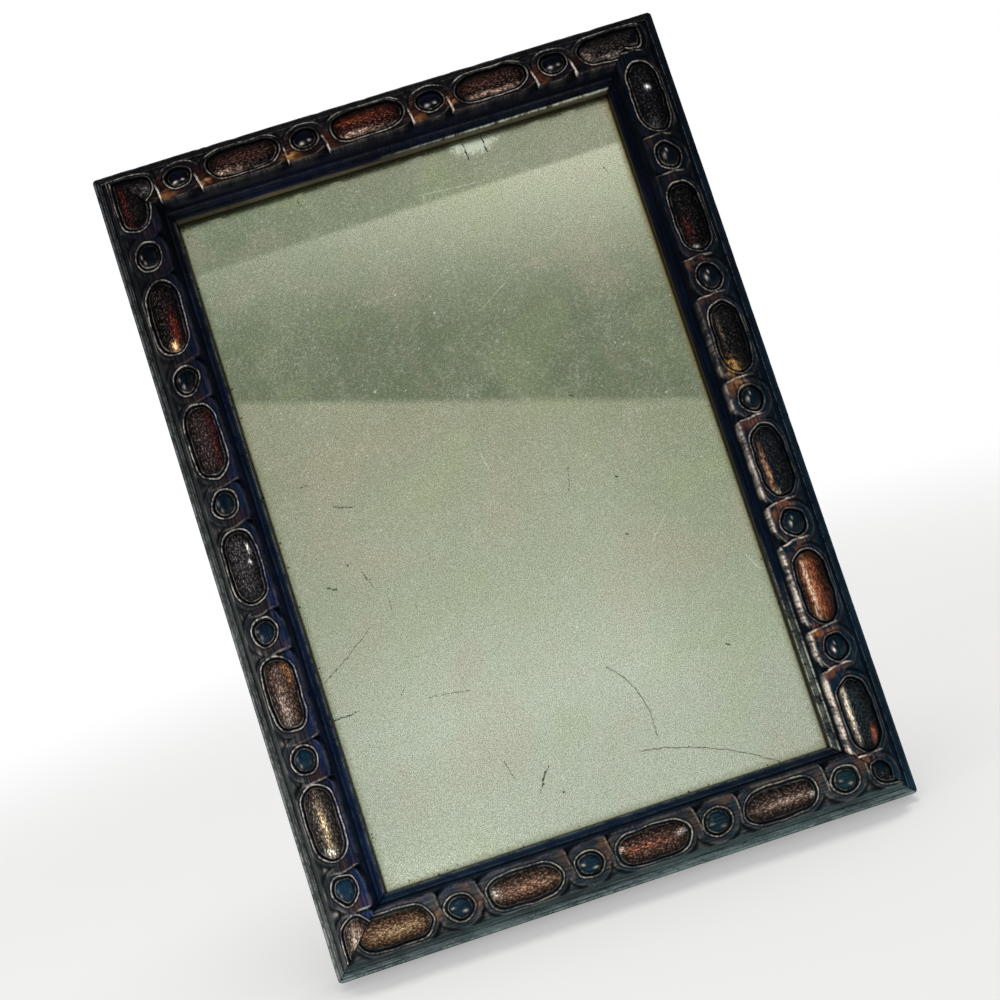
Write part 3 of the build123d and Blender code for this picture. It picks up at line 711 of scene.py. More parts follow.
def makeRail(node, material):
    # A rail: the section carried along s, with ends cut at 45 degrees, so s = u + (length - 2u) v.
    rail = rails[node]
    seed, length, tilt = rail["seed"], frameSize[rail["length"]], math.cos(railSettings["bandTilt"])
    insetLine, heightLine, shareLine = sectionLoop()
    tips = np.array([0.0, 0.0006, 0.0014, 0.0026])
    body = np.linspace(0.004, 0.996, railSettings["alongSamples"])
    v = np.concatenate([tips, body, 1.0 - tips[::-1]])[:, None]
    u = np.broadcast_to(insetLine, (len(v), len(insetLine)))
    share = np.broadcast_to(shareLine, u.shape)
    s = u + (length - 2.0 * u) * v
    relief, at = reliefOf(s, (u - railSettings["bandMiddle"]) / tilt, rail["firstBead"], seed)
    z = heightLine + relief * share / tilt
    onFront = smooth(10.0, 10.8, z)
    # Hand work: long low waves, small nicks along the outer corner, and mitres that have shrunk a little apart
    z += onFront * 0.05 * ripple(s * 0.35, u, 5.0, seed + 12)
    fromMitre = np.minimum(s - u, length - u - s)
    z -= onFront * 0.45 * np.exp(-np.abs(fromMitre) / 0.3)
    for nickPlace, nickDepth, nickWidth in np.random.default_rng(seed + 9).random((railSettings["nicks"], 3)):
        dent = bell(s, nickPlace * length, 0.5 + 1.6 * nickWidth) * bell(u, 0.3, 0.9) * smooth(8.5, 10.8, z)
        z -= (0.08 + 0.3 * nickDepth ** 2) * dent
    front = smooth(0.2, 0.9, share)
    at.update(s=s, u=u, z=z, front=front, run=np.clip(s / length, 0.0, 1.0))
    lines, edgeWearAndHighlights = railWearAndHighlights(rail, at)
    lozenge, bead = at["lozengeMask"] * front, at["beadMask"]
    # Colour of the light lines, rubbed wood with painted highlights: its own on the outer flat, paler on the lip
    # by the glass.
    lineTone = paint(np.array(tone(*rail["line"])), rail["outerLine"], 1.0 - smooth(4.0, 4.6, u))
    masks = {
        "tint": railFinish(rail, at),
        "line": paint(lineTone, (186, 192, 170), smooth(19.6, 20.1, u)),
        "cut": np.stack([at["depth"] * front - 9.0 * (1.0 - front), at["pad"], at["foot"]], axis=-1),
        "wearAndHighlights": lines,
        "edgeWearAndHighlights": edgeWearAndHighlights,
        # Painted shade in hollows: the flat's groove, the mitres, the foot of the cove and the rebate corner.
        "hollowShade": np.maximum.reduce([
            bell(u, 2.75, 0.3) * onFront, np.exp(-np.abs(fromMitre) / 0.28) * onFront,
            bell(u, 19.65, 0.3) * smooth(12.0, 15.0, z), bell(u, 22.0, 0.12) * bell(z, 9.0, 0.5)]),
        "front": front,
        "groove": ends(rail["groove"], at["run"]),
        "fleck": lozenge * fleckLevel(rail, at),
        "lozenge": lozenge * rail["hammer"],
        "bead": bead * front,
        "rear": (1.0 - smooth(8.0, 9.5, z)) * (insetLine > 0.01),
        "warm": rail["warm"] * front * (1.0 - bead) * (1.0 - at["lozengeMask"]),
    }
    s, u = roundCorners(s, u, length)
    (startX, startZ), (alongX, alongZ), (inwardX, inwardZ) = rail["origin"], rail["along"], rail["inward"]
    x = startX * frameSize["width"] / 2 + alongX * s + inwardX * u
    up = startZ * frameSize["height"] + alongZ * s + inwardZ * u
    around = np.concatenate([[0.0], np.cumsum(np.hypot(np.diff(insetLine), np.diff(heightLine)))])
    mesh = gridMesh(node + "_carved", stand(x, -z, up), around * mm, s * mm)
    for name, values in masks.items():
        setAttribute(mesh, name, values)
    addPiece(node + "_carved", mesh, material, "frame", node)
    print("rail", node, len(mesh.polygons), "faces")


woodSettings = {
    "streaks": (70.0, 1500.0, 1.0),  # scales of the patterns: along the rail, round its section
    "dashes": (620.0, 2600.0, 1.0),
    "hatch": (900.0, 500.0, 1.0),
    "dents": (950.0, 1450.0, 1.0),
    "sunkShadeStrength": 0.88,
    "fleckShow": 0.7,
    "beadCoat": 0.06,
    # Lines on the carving's distances, in millimetres: middle and half width. Groove, outside and kerf are
    # painted shade; crest, inside, border and stroke are rubbed lines with painted highlights.
    "groove": (railSettings["edge"] - 0.42, 0.36),
    "outside": (-0.45, 0.3),
    "kerf": (0.35, 0.32),
    "crest": (0.06, 0.23),
    "inside": (railSettings["edge"] + 0.22, 0.18),
    "border": (-0.2, 0.24),
    "stroke": (-0.22, 0.32),
}


def carvedWood():
    # Ebonised carved wood: streaks along the rail, rubbed crests with painted highlights, hammered lozenges,
    # glossy beads, raw back, and painted shade in the grooves and hollows.
    settings = woodSettings
    material, tree, shader = newMaterial(
        "carved_wood_finish", Specular_IOR_Level=0.06, Coat_Roughness=0.12, Coat_IOR=1.45)
    around = place(tree)
    streak = noise(place(tree, "UV", scale=settings["streaks"]), 1.0, 4.0, 0.65)
    dashes = noise(place(tree, "UV", scale=settings["dashes"]), 1.0, 3.0, 0.7, 0.5)
    hatch = noise(place(tree, "UV", scale=settings["hatch"], turn=(0.0, 0.0, 0.6)), 1.0, 3.0, 0.7)
    dents = cells(place(tree, "UV", scale=settings["dents"]), 1.0, "2D")
    cloud = noise(around, 60.0, 4.0, 0.6)
    fine = noise(around, 1700.0, 3.0, 0.7)
    lozenge, hollowShade, rear, front, warm, groove, edgeWearAndHighlights, fleck, bead = [attribute(tree, name) for name in (
        "lozenge", "hollowShade", "rear", "front", "warm", "groove", "edgeWearAndHighlights", "fleck", "bead")]
    plain = fade(streak, 0.3, 0.72, 0.35, 1.6) * fade(cloud, 0.3, 0.75, 0.7, 1.3)
    plain = plain * fade(dashes, 0.35, 0.65, 0.7, 1.3)
    speckled = fade(fine, 0.36, 0.62, 0.35, 1.65) * fade(dashes, 0.36, 0.64, 0.25, 1.75)
    speckled = speckled * fade(dents, 0.1, 0.62, 1.5, 0.5)
    level = valueOf(tree, "MapRange", "Result", {"Value": lozenge, "To Min": plain, "To Max": speckled})
    colour = blend(fade(streak, 0.5, 0.64) * warm, attribute(tree, "tint", "Color"), tone(80, 58, 48))
    # The distances of the carving, roughened a little, then the grooves darkened with painted shade and the
    # rubbed lines they give, with painted highlights and a painted shadow beside each foot's stroke.
    waver = calc("MULTIPLY_ADD", fine, 0.3, -0.15)
    depth, pad, foot = [distance + waver for distance in axes(attribute(tree, "cut", "Vector"))]
    ringWearAndLight, borderWearAndLight, footHighlight = axes(attribute(tree, "wearAndHighlights", "Vector"))

    def line(value, name):
        middle, halfWidth = settings[name]
        return useGroup(carvedLine, {"Value": value, "Middle": middle, "Half Width": halfWidth}, "Mask")

    # Painted shade: grooves, pad hollows, the kerf beside each foot and the hollows.
    sunkShade = most(
        line(depth, "groove") * groove,
        line(depth, "outside") * 0.8,
        fade(pad, 0.1, 0.6) * fade(pad, 2.4, 0.9) * front,
        line(foot, "kerf") * calc("MULTIPLY", footHighlight, 3.0, clamp=True),
        hollowShade)
    # Rubbed lines with painted highlights: crests, dome edges, pad borders and foot strokes.
    rubbedAndLit = most(
        line(depth, "crest") * ringWearAndLight,
        line(depth, "inside") * ringWearAndLight * 0.45,
        line(pad, "border") * borderWearAndLight,
        line(foot, "stroke") * footHighlight) * fade(hatch, 0.38, 0.56, 0.35, 1.0)
    # Pale flecks: light grains of the hammering with painted highlights.
    flecks = fade(dents, 0.34, 0.16) * fade(dashes, 0.46, 0.58) * (fleck * settings["fleckShow"])
    section = edgeWearAndHighlights * fade(hatch, 0.36, 0.48, 0.3, 1.0)
    rubbedAndLit = calc("MAXIMUM", most(rubbedAndLit, flecks), section, clamp=True)
    raw = blend(fade(streak, 0.3, 0.7), tone(74, 50, 36), tone(40, 27, 21))
    colour = layered(
        times(colour, level),
        (sunkShade * settings["sunkShadeStrength"], tone(3, 4, 7)),
        (rubbedAndLit, attribute(tree, "line", "Color")),
        (rear, raw),
        (dusted(around, 1400.0, 0.4) * 0.15, tone(130, 130, 126)))
    rough = fade(streak, 0.2, 0.8, 0.28, 0.42) + sunkShade * 0.3
    plug(shader, {
        "Base Color": colour, "Roughness": calc("ADD", rough, rear * 0.35, clamp=True),
        "Coat Weight": bead * settings["beadCoat"]})
    bump(shader, (fine - dents) * lozenge * 0.8 + streak * 0.3 + rubbedAndLit * 0.3, 0.6, 0.00022)
    return material


carvedMaterial = carvedWood()
for railName in rails:
    makeRail(railName, carvedMaterial)


# Mirror

mirrorSettings = {
    # Colours as they look on a screen; the first nine, from "line" to "right", paint a reflection of a room
    "tones": {
        "line": (149, 153, 125),  # just under the sharp line
        "middle": (160, 168, 143),
        "low": (182, 192, 171),
        "dark": (102, 113, 87),  # just over the sharp line
        "stripLeft": (138, 149, 124),  # just under the band
        "stripRight": (194, 199, 170),
        "bandLeft": (116, 127, 101),  # the band along the top
        "bandRight": (142, 147, 121),
        "right": (118, 132, 84),
        "clouds": (178, 172, 158),
        "pink": (184, 160, 142),
        "lime": (158, 174, 114),
        "edge": (104, 106, 70),
        "rightEdge": (120, 104, 56),
        "pale": (214, 222, 204),
        "shade": (96, 102, 82),
        "loss": (30, 33, 27),
        "bow": (92, 96, 72),
        "stain": (202, 212, 190),
    },
    # Edges of the painted reflection, the band's lower edge and the sharp line: height over the frame's lower
    # edge at the middle, and slope
    "bandLevel": 228.8,
    "bandSlope": 0.008,
    "lineLevel": 162.2,
    "lineSlope": 0.309,
    "stain": (26.4, 246.0, 8.6, 6.4),  # middle x and z, half width and half height
    "streaks": ((0.9, 0.3), (-0.5, 0.4), (0.2, 0.5)),  # turn and squeeze along
    # Scratches through the silver: from x, z to x, z over the frame's lower edge, half width, strength
    "scratches": [
        (-71.8, 90.3, -62.8, 95.7, 0.13, 0.9), (-62.8, 95.7, -53.1, 102.5, 0.12, 0.8),
        (-73.0, 77.8, -64.6, 78.4, 0.2, 0.95), (-60.9, 152.0, -58.2, 152.1, 0.18, 0.8),
        (-53.6, 152.3, -52.6, 152.2, 0.2, 0.8), (-52.6, 142.9, -47.2, 140.9, 0.18, 0.85),
        (20.7, 125.1, 22.3, 132.0, 0.15, 0.7), (-16.6, 38.6, -14.2, 42.6, 0.36, 0.95),
        (-14.8, 41.4, -12.9, 43.6, 0.2, 0.9), (-16.6, 38.6, -17.8, 36.6, 0.2, 0.8),
        (-10.9, 34.5, -10.4, 34.2, 0.42, 0.95), (-25.5, 49.4, -24.2, 43.4, 0.17, 0.8),
        (-50.2, 79.2, -48.0, 81.4, 0.14, 0.7), (-42.0, 75.8, -29.1, 74.1, 0.14, 0.7),
        (-54.3, 124.1, -53.9, 123.6, 0.3, 0.9), (-62.0, 118.6, -59.6, 117.4, 0.3, 0.8),
        (-50.2, 120.2, -48.2, 114.2, 0.15, 0.8), (-44.9, 110.0, -44.6, 104.8, 0.14, 0.7),
        (30.2, 154.4, 31.2, 153.8, 0.26, 0.9), (35.9, 124.8, 36.4, 124.4, 0.26, 0.9),
        (33.4, 106.1, 34.0, 105.7, 0.24, 0.8), (-33.9, 242.0, -33.2, 240.0, 0.16, 0.7),
        (64.2, 223.0, 65.2, 220.8, 0.16, 0.7), (22.6, 245.6, 23.1, 238.8, 0.24, 0.95),
        (29.2, 245.6, 29.7, 239.4, 0.24, 0.95), (52.6, 63.0, 53.4, 62.4, 0.3, 0.9),
    ],
    # Light scratches, the same way
    "lightScratches": [
        (67.6, 88.3, 70.2, 83.0, 0.15, 0.7), (70.2, 83.0, 74.0, 81.4, 0.13, 0.6),
        (-3.0, 145.4, -1.7, 138.7, 0.16, 0.5), (40.0, 100.4, 47.0, 108.0, 0.14, 0.5),
        (36.0, 92.0, 42.6, 95.0, 0.12, 0.45), (30.0, 60.0, 33.0, 67.0, 0.14, 0.5),
        (48.0, 66.0, 53.0, 73.4, 0.15, 0.5), (-30.0, 103.0, -27.0, 97.0, 0.12, 0.4),
        (4.0, 232.0, 24.0, 230.5, 0.2, 0.35), (12.0, 190.0, 22.0, 196.0, 0.14, 0.4),
    ],
    # Bowed scratches, each through three places x, z, then half width
    "bows": [
        ((14.5, 67.2), (21.5, 56.0), (22.4, 41.8), 0.16),
        ((17.5, 39.1), (38.2, 32.9), (59.6, 20.4), 0.17),
    ],
}


def flatWay(vector, start):
    # The way to a vector from a place, both flat in the x, z plane.
    return vectorCalc("SUBTRACT", vectorCalc("MULTIPLY", vector, (1.0, 0.0, 1.0)), start)


def dot(first, second):
    return vectorCalc("DOT_PRODUCT", first, second, output="Value")


def scratchMask(vector, start, end, halfWidth, strength):
    # Straight stroke: the distance to a segment in the x, z plane, faded at its half width.
    way, line = flatWay(vector, start), vectorCalc("SUBTRACT", end, start)
    share = calc("DIVIDE", dot(way, line), dot(line, line), clamp=True)
    off = vectorCalc("SUBTRACT", way, vectorCalc("SCALE", line, Scale=share))
    distance = vectorCalc("LENGTH", off, output="Value")
    return {"Mask": fade(distance / halfWidth, 0.6, 1.4, 1.0, 0.0) * strength}


def bowMask(vector, centre, middle, radius, spread, halfWidth):
    # Bowed stroke: the distance to a circle in the x, z plane, kept where the direction is near its middle's.
    way = flatWay(vector, centre)
    off = calc("ABSOLUTE", vectorCalc("LENGTH", way, output="Value") - radius)
    gate = fade(dot(vectorCalc("NORMALIZE", way), middle) - spread, 0.0, 0.01)
    return {"Mask": fade(off / halfWidth, 0.6, 1.4, 1.0, 0.0) * gate}


scratch = newGroup(
    "scratch", {"Vector": None, "From": None, "To": None, "Half Width": 0.2, "Strength": 1.0}, scratchMask)
bow = newGroup("bow", {
    "Vector": None, "Centre": None, "Middle": None, "Radius": 1.0, "Spread": 0.9, "Half Width": 0.2}, bowMask)


def circleThrough(first, second, third):
    # Centre and radius of the circle through three places: where the two chords' perpendicular bisectors meet.
    rows = np.array([np.subtract(second, first), np.subtract(third, first)]) * 2.0
    sums = np.array([np.dot(point, point) - np.dot(first, first) for point in (second, third)])
    centre = np.linalg.solve(rows, sums)
    return centre, float(np.hypot(*(np.array(first) - centre)))


def mirrorMarks(base):
    # Dark and light scratches and bows, each wandering a little and broken up by noise. Three masks.
    wobble = valueOf(base.tree, "TexNoise", "Color", {"Vector": base, "Scale": 0.5})
    wobble = vectorCalc("SCALE", vectorCalc("SUBTRACT", wobble, (0.5, 0.5, 0.5)), Scale=1.2)
    shaken = vectorCalc("ADD", base, wobble)
    broken = fade(noise(base, 1.6, 2.0), 0.4, 0.5)

    def scratchesOf(name):
        return most(*[useGroup(scratch, {
            "Vector": shaken, "Half Width": halfWidth, "Strength": strength,
            "From": (fromX, 0.0, fromZ), "To": (toX, 0.0, toZ)}, "Mask")
            for fromX, fromZ, toX, toZ, halfWidth, strength in mirrorSettings[name]])

    bows = []
    for *points, halfWidth in mirrorSettings["bows"]:
        centre, radius = circleThrough(*points)
        first, middle, last = [(np.array(point) - centre) / radius for point in points]
        spread = float(min(np.dot(middle, first), np.dot(middle, last)))
        bows.append(useGroup(bow, {
            "Vector": shaken, "Centre": (centre[0], 0.0, centre[1]), "Radius": radius, "Half Width": halfWidth,
            "Middle": (middle[0], 0.0, middle[1]), "Spread": spread}, "Mask"))
    bowed = most(*bows) * fade(noise(base, 0.9, 2.0), 0.35, 0.5, 0.35, 1.0)
    return scratchesOf("scratches") * broken, scratchesOf("lightScratches") * broken, bowed


def silveredGlass():
    # Old silvered glass: grey-green tones with a painted reflection of a room in bands, haze, grain, dust, and
    # scratches through the silver.
    material, tree, shader = newMaterial(
        "silvered_glass", Metallic=1.0, Coat_Weight=0.5, Coat_Roughness=0.03, Coat_IOR=1.45)
    settings = mirrorSettings
    tones = {name: tone(*colour) for name, colour in settings["tones"].items()}
    # Upright millimetres: x across and z up from the frame's lower edge, and the same flat, for the patterns
    lift = -rearEdge * math.sin(leanAngle)
    x, _, z = axes(place(tree, turn=(leanAngle, 0.0, 0.0), scale=(1 / mm,) * 3, shift=(0.0, 0.0, lift)))
    base = valueOf(tree, "CombineXYZ", "Vector", {"X": x, "Z": z})
    # Painted reflection of a room: upper and lower part with a sharp sloping line between, and the band along
    # the top; the lower part lighter low down, a little darker to the sides and at the very bottom.
    lineSlope, bandSlope, lineLevel, bandLevel = [
        settings[name] for name in ("lineSlope", "bandSlope", "lineLevel", "bandLevel")]
    overLine = x * lineSlope + z - lineLevel
    overBand = z - x * bandSlope - bandLevel
    span = calc("MULTIPLY_ADD", x, lineSlope + bandSlope, bandLevel - lineLevel)
    strip = blend(fade(x, -95.0, 70.0), tones["stripLeft"], tones["stripRight"])
    upper = blend(fade(overLine / span, 0.3, 1.15), tones["dark"], strip)
    lower = layered(
        tones["line"],
        (fade(z, 165.0, 110.0), tones["middle"]),
        (fade(z, 120.0, 60.0), tones["low"]),
        (fade(calc("ABSOLUTE", x + 5.0), 30.0, 78.0, 0.0, 0.2), tones["shade"]),
        (fade(z, 66.0, 45.0, 0.0, 0.1), tones["shade"]),
        (fade(x, 20.0, 55.0, 0.0, 0.25) * fade(z, 45.0, 70.0), tones["right"]))
    band = blend(fade(x, -70.0, 70.0), tones["bandLeft"], tones["bandRight"])
    colour = layered(lower, (fade(overLine, -1.7, 1.7), upper), (fade(overBand, -1.0, 1.0), band))
    # Haze in clouds, grain at two sizes, short pale streaks, dots and dark specks
    clouds = noise(base, 0.05, 4.0, 0.6)
    grain = noise(base, 0.9, 4.0, 0.75)
    fine = noise(base, 3.1, 2.0, 0.8)
    mottle = noise(base, 0.22, 3.0, 0.6)
    hues = noise(base, 0.028, 3.0, 0.5, 0.5)
    colour = layered(
        colour,
        (fade(mottle, 0.5, 0.75, 0.0, 0.1), tones["pale"]),
        (fade(mottle, 0.5, 0.25, 0.0, 0.08), tones["shade"]),
        (fade(clouds, 0.42, 0.72, 0.0, 0.1), tones["clouds"]),
        (fade(hues, 0.51, 0.66, 0.0, 0.2), tones["pink"]),
        (fade(hues, 0.47, 0.34, 0.0, 0.16), tones["lime"]),
        (fade(grain, 0.48, 0.72, 0.0, 0.18), tones["pale"]),
        (fade(grain, 0.5, 0.3, 0.0, 0.18), tones["shade"]))
    colour = times(colour, fade(fine, 0.36, 0.64, 0.48, 1.5) * fade(grain, 0.3, 0.7, 0.94, 1.06))
    patches = fade(clouds, 0.36, 0.62, 0.15, 1.0)
    for turn, squeeze in settings["streaks"]:
        drawn = moved(moved(base, turn=(0.0, turn, 0.0)), scale=(squeeze, 1.0, 2.4))
        streaks = fade(noise(drawn, 1.0, 2.0), 0.6, 0.7) * patches
        colour = blend(streaks * 0.26, colour, tones["pale"])
    dots = dusted(vectorCalc("SCALE", base, Scale=mm), 560.0, 0.55) * fade(mottle, 0.46, 0.58, 0.05, 0.75)
    specks = calc("LESS_THAN", cells(base, 0.16), fade(clouds, 0.5, 0.4) * 0.035)
    # A pale bluish stain near the top
    stainX, stainZ, stainWide, stainHigh = settings["stain"]
    across, along = (x - stainX) / stainWide, (z - stainZ) / stainHigh
    rough = grain - 0.5
    away = across * across + along * along + rough * 4.0
    # Tarnish creeps in from the rebate on all four sides, most on the right
    halfWidth = frameSize["width"] / 2 - frameSize["railWidth"]
    halfHeight = frameSize["height"] / 2 - frameSize["railWidth"]
    fromTop = halfHeight - calc("ABSOLUTE", z - frameSize["height"] / 2)
    edge = calc("SMOOTH_MIN", halfWidth - calc("ABSOLUTE", x), fromTop, 6.0) + rough * 3.0
    chips = calc("LESS_THAN", cells(base, 0.42), fade(edge, 3.4, 0.4, 0.0, 0.17))
    rightSide = fade(halfWidth - x + rough * 2.0, 2.6, 0.3) * fade(z, 90.0, 190.0, 0.25, 0.7)
    dark, light, bowed = mirrorMarks(base)
    colour = layered(
        colour,
        (dots, tones["pale"]),
        (specks * 0.8, tones["loss"]),
        (fade(away, 1.2, 0.5, 0.0, 0.85), tones["stain"]),
        (fade(edge, 3.0, -0.5, 0.0, 0.6), tones["edge"]),
        (chips * 0.85, tones["loss"]),
        (rightSide, tones["rightEdge"]),
        (light, tones["pale"]),
        (bowed, tones["bow"]),
        (dark, tones["loss"]))
    plug(shader, {"Base Color": colour, "Roughness": fade(grain, 0.2, 0.8, 0.12, 0.2) + dark * 0.3})
    bump(shader, clouds, 0.25, 0.0004)
    return material


def dress(node, material):
    # The CAD node stays, with a new finish in every material slot.
    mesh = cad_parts[node].data
    if not mesh.materials:
        mesh.materials.append(material)
    for index in range(len(mesh.materials)):
        mesh.materials[index] = material


dress("mirror_glass", silveredGlass())
print("silvered glass set")


# Plain finishes of the pieces behind, their colours as they look on a screen

metals = {  # bright, dull, metallic, and roughness where bright and where dull
    "aged_brass": ((196, 158, 92), (120, 92, 56), 1.0, (0.28, 0.55)),
    "old_iron": ((96, 92, 88), (74, 50, 38), 0.8, (0.45, 0.8)),
    "worn_steel": ((170, 168, 164), (110, 104, 98), 1.0, (0.25, 0.45)),
    "silver_coat_finish": ((176, 176, 168), (120, 120, 110), 1.0, (0.2, 0.4)),
}
boards = {  # pale, deep, dirt, rings, pores, lean of the grain in degrees, and roughness from and to
    "pine_board": ((178, 134, 88), (132, 88, 52), (84, 58, 40), 90.0, 700.0, 15.0, (0.6, 0.8)),
    "strut_wood_finish": ((70, 38, 26), (38, 20, 15), (20, 13, 11), 70.0, 1100.0, -12.0, (0.32, 0.5)),
}
cloths = {  # light, dark, pores and roughness
    "foot_leather_finish": ((104, 70, 46), (58, 38, 26), 1300.0, 0.7),
    "kraft_paper": ((158, 128, 92), (120, 92, 62), 1800.0, 0.85),
    "red_lead_finish": ((150, 58, 38), (110, 40, 28), 1500.0, 0.6),
}
finishOf = {
    "backboard": "pine_board", "corner_brads": "old_iron", "glazing_sprigs": "old_iron",
    "hinge_fixed_leaf": "aged_brass", "hinge_moving_leaf": "aged_brass", "hinge_pin": "worn_steel",
    "strut": "strut_wood_finish", "strut_foot_pad": "foot_leather_finish", "packing_paper": "kraft_paper",
    "backing_paint": "red_lead_finish", "silver_coat": "silver_coat_finish",
}


def metalFinish(name, bright, dull, metallic, rough):
    # Old metal: bright where rubbed, dull in patches, painted shade in hollows such as screw slots, with fine
    # scratches in the roughness.
    material, tree, shader = newMaterial(name, Metallic=metallic)
    spot = place(tree)
    patch = noise(spot, 260.0, 5.0, 0.65)
    fine = noise(spot, 2400.0, 2.0, 0.6)
    colour = layered(
        tone(*bright),
        (fade(patch, 0.4, 0.62), tone(*dull)),
        (fade(fine, 0.55, 0.8, 0.0, 0.4), tone(*dull)),
        # Painted shade in the hollows.
        (attribute(tree, "hollowShade") * 0.85, tone(22, 17, 13)))
    plug(shader, {"Base Color": colour, "Roughness": fade(patch, 0.3, 0.7, *rough)})
    bump(shader, patch + fine, 0.3, 0.00012)
    return material


def boardFinish(name, pale, deep, dirt, rings, pores, lean, rough):
    # Planed board: figure and pores from the timber group, dirt in soft patches.
    material, tree, shader = newMaterial(name)
    spot = place(tree, turn=(math.radians(lean), 0.0, 0.0))
    grain = {"Vector": spot, "Rings": rings, "Pores": pores}
    figure, pore = [useGroup(timber, grain, output) for output in ("Figure", "Pore")]
    colour = layered(
        tone(*pale),
        (fade(figure, 0.2, 0.95), tone(*deep)),
        (fade(pore, 0.52, 0.72, 0.0, 0.6), tone(*deep)),
        (fade(noise(spot, 22.0, 6.0, 0.6), 0.45, 0.75, 0.0, 0.55), tone(*dirt)),
        (dusted(spot, 700.0, 0.6) * 0.4, tone(*dirt)))
    plug(shader, {"Base Color": colour, "Roughness": fade(pore, 0.3, 0.7, *rough)})
    bump(shader, pore, 0.35, 0.0002)
    return material


def clothFinish(name, light, dark, pores, rough):
    # Leather, paper or paint: a cell pattern for the grain and clouds for wear.
    material, tree, shader = newMaterial(name, Roughness=rough)
    spot = place(tree)
    grain = cells(spot, pores)
    colour = layered(
        tone(*dark),
        (fade(grain, 0.0, 0.6), tone(*light)),
        (fade(noise(spot, 120.0, 4.0), 0.45, 0.75, 0.0, 0.5), tone(*dark)))
    plug(shader, {"Base Color": colour})
    bump(shader, grain, 0.4, 0.0002)
    return material


finishes = {}
for makeFinish, table in ((metalFinish, metals), (boardFinish, boards), (clothFinish, cloths)):
    for name, look in table.items():
        finishes[name] = makeFinish(name, *look)
for node, name in finishOf.items():
    dress(node, finishes[name])
print("finishes set on", len(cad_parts), "nodes")


# Slotted screws of the hinge

screwSettings = {
    "columns": 120,
    "headHeight": 0.8,  # from the head's face to the end of its cone
    "slotHalf": 0.2,
    "slotDepth": 0.42,
    "threadPitch": 0.9,
    "threadDepth": 0.14,
    "pointFrom": 0.72,  # share of the length at which the point starts
    # The two sets: body, then the turns of the left and the right slot
    "sets": {"fixed_leaf_screws": ("frame", 0.4, 1.3), "moving_leaf_screws": ("easel", 1.0, 2.6)},
}


def nodePoints(name):
    # A CAD node's vertices in millimetres.
    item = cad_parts[name]
    flat = np.zeros(len(item.data.vertices) * 3)
    item.data.vertices.foreach_get("co", flat)
    turn = np.array(item.matrix_world)
    return (flat.reshape(-1, 3) @ turn[:3, :3].T + turn[:3, 3]) / mm


def screwPlace(points):
    # Head's middle, way in and sizes of one CAD screw: its long axis by least squares, its head the wide end.
    middle = (points.min(axis=0) + points.max(axis=0)) / 2
    way = np.linalg.svd(points - points.mean(axis=0))[2][0]
    along = (points - middle) @ way
    away = np.linalg.norm((points - middle) - along[:, None] * way, axis=1)
    if along[np.argmax(away)] > 0.0:
        way, along = -way, -along
    atHead = along < along.min() + 0.05
    head = points[atHead].mean(axis=0)
    off = (points - head) - ((points - head) @ way)[:, None] * way
    radii = np.linalg.norm(off, axis=1)
    return head, way, radii.max(), radii[~atHead].max(), along.max() - along.min()


def screwPoints(head, way, headRadius, shankRadius, length, slotTurn):
    # Turned profile. Slot: a trench across the face. Thread: the radius dips by a cosine that winds down.
    columns, headHeight, slotHalf, slotDepth = [
        screwSettings[name] for name in ("columns", "headHeight", "slotHalf", "slotDepth")]
    angle = (np.arange(columns) / columns * math.tau)[None, :]
    cone = (headRadius - shankRadius) / headHeight

    def trench(radius):
        off = np.abs(radius * np.sin(angle - slotTurn))
        return slotDepth * (1.0 - smooth(slotHalf * 0.85, slotHalf * 1.15, off))

    share = np.linspace(0.01, 1.0, 30)[:, None]
    faceDepth = trench(share * headRadius)
    rim = trench(headRadius)
    faceRadius = share * (headRadius - cone * rim * share ** 6)
    coneDepth = rim + (headHeight - rim) * np.linspace(0.0, 1.0, 8)[1:, None]
    coneRadius = headRadius - cone * coneDepth
    run = np.linspace(0.0, 1.0, 90)[1:, None]
    shankDepth = headHeight + (length - headHeight) * run + 0.0 * angle
    taper = 1.0 - 0.9 * smooth(screwSettings["pointFrom"], 1.0, run)
    winding = 0.5 - 0.5 * np.cos(angle - shankDepth / screwSettings["threadPitch"] * math.tau)
    dip = screwSettings["threadDepth"] * winding * smooth(0.1, 0.25, run)
    radius = np.concatenate([faceRadius, coneRadius, (shankRadius - dip) * taper])
    depth = np.concatenate([faceDepth, coneDepth, shankDepth])
    # Painted shade in the slot, by the share of its depth.
    hollowShade = np.concatenate([faceDepth / slotDepth, np.zeros_like(coneDepth), np.zeros_like(shankDepth)])
    first = np.array([1.0, 0.0, 0.0])
    second = np.cross(-way, first)
    points = head + depth[..., None] * way
    points = points + (radius * np.cos(angle))[..., None] * first + (radius * np.sin(angle))[..., None] * second
    return points * mm, hollowShade


def makeScrews(node, body, leftTurn, rightTurn):
    # Both screws of one leaf, each where its CAD screw is.
    points = nodePoints(node)
    for side, word, slotTurn in ((-1, "_left", leftTurn), (1, "_right", rightTurn)):
        grid, hollowShade = screwPoints(*screwPlace(points[points[:, 0] * side > 0.0]), slotTurn)
        mesh = gridMesh(node + word, grid)
        setAttribute(mesh, "hollowShade", hollowShade)
        addPiece(node + word, mesh, finishes["aged_brass"], body, node)
    print("screws", node)


for node, screwSet in screwSettings["sets"].items():
    makeScrews(node, *screwSet)


# Floor, light and camera

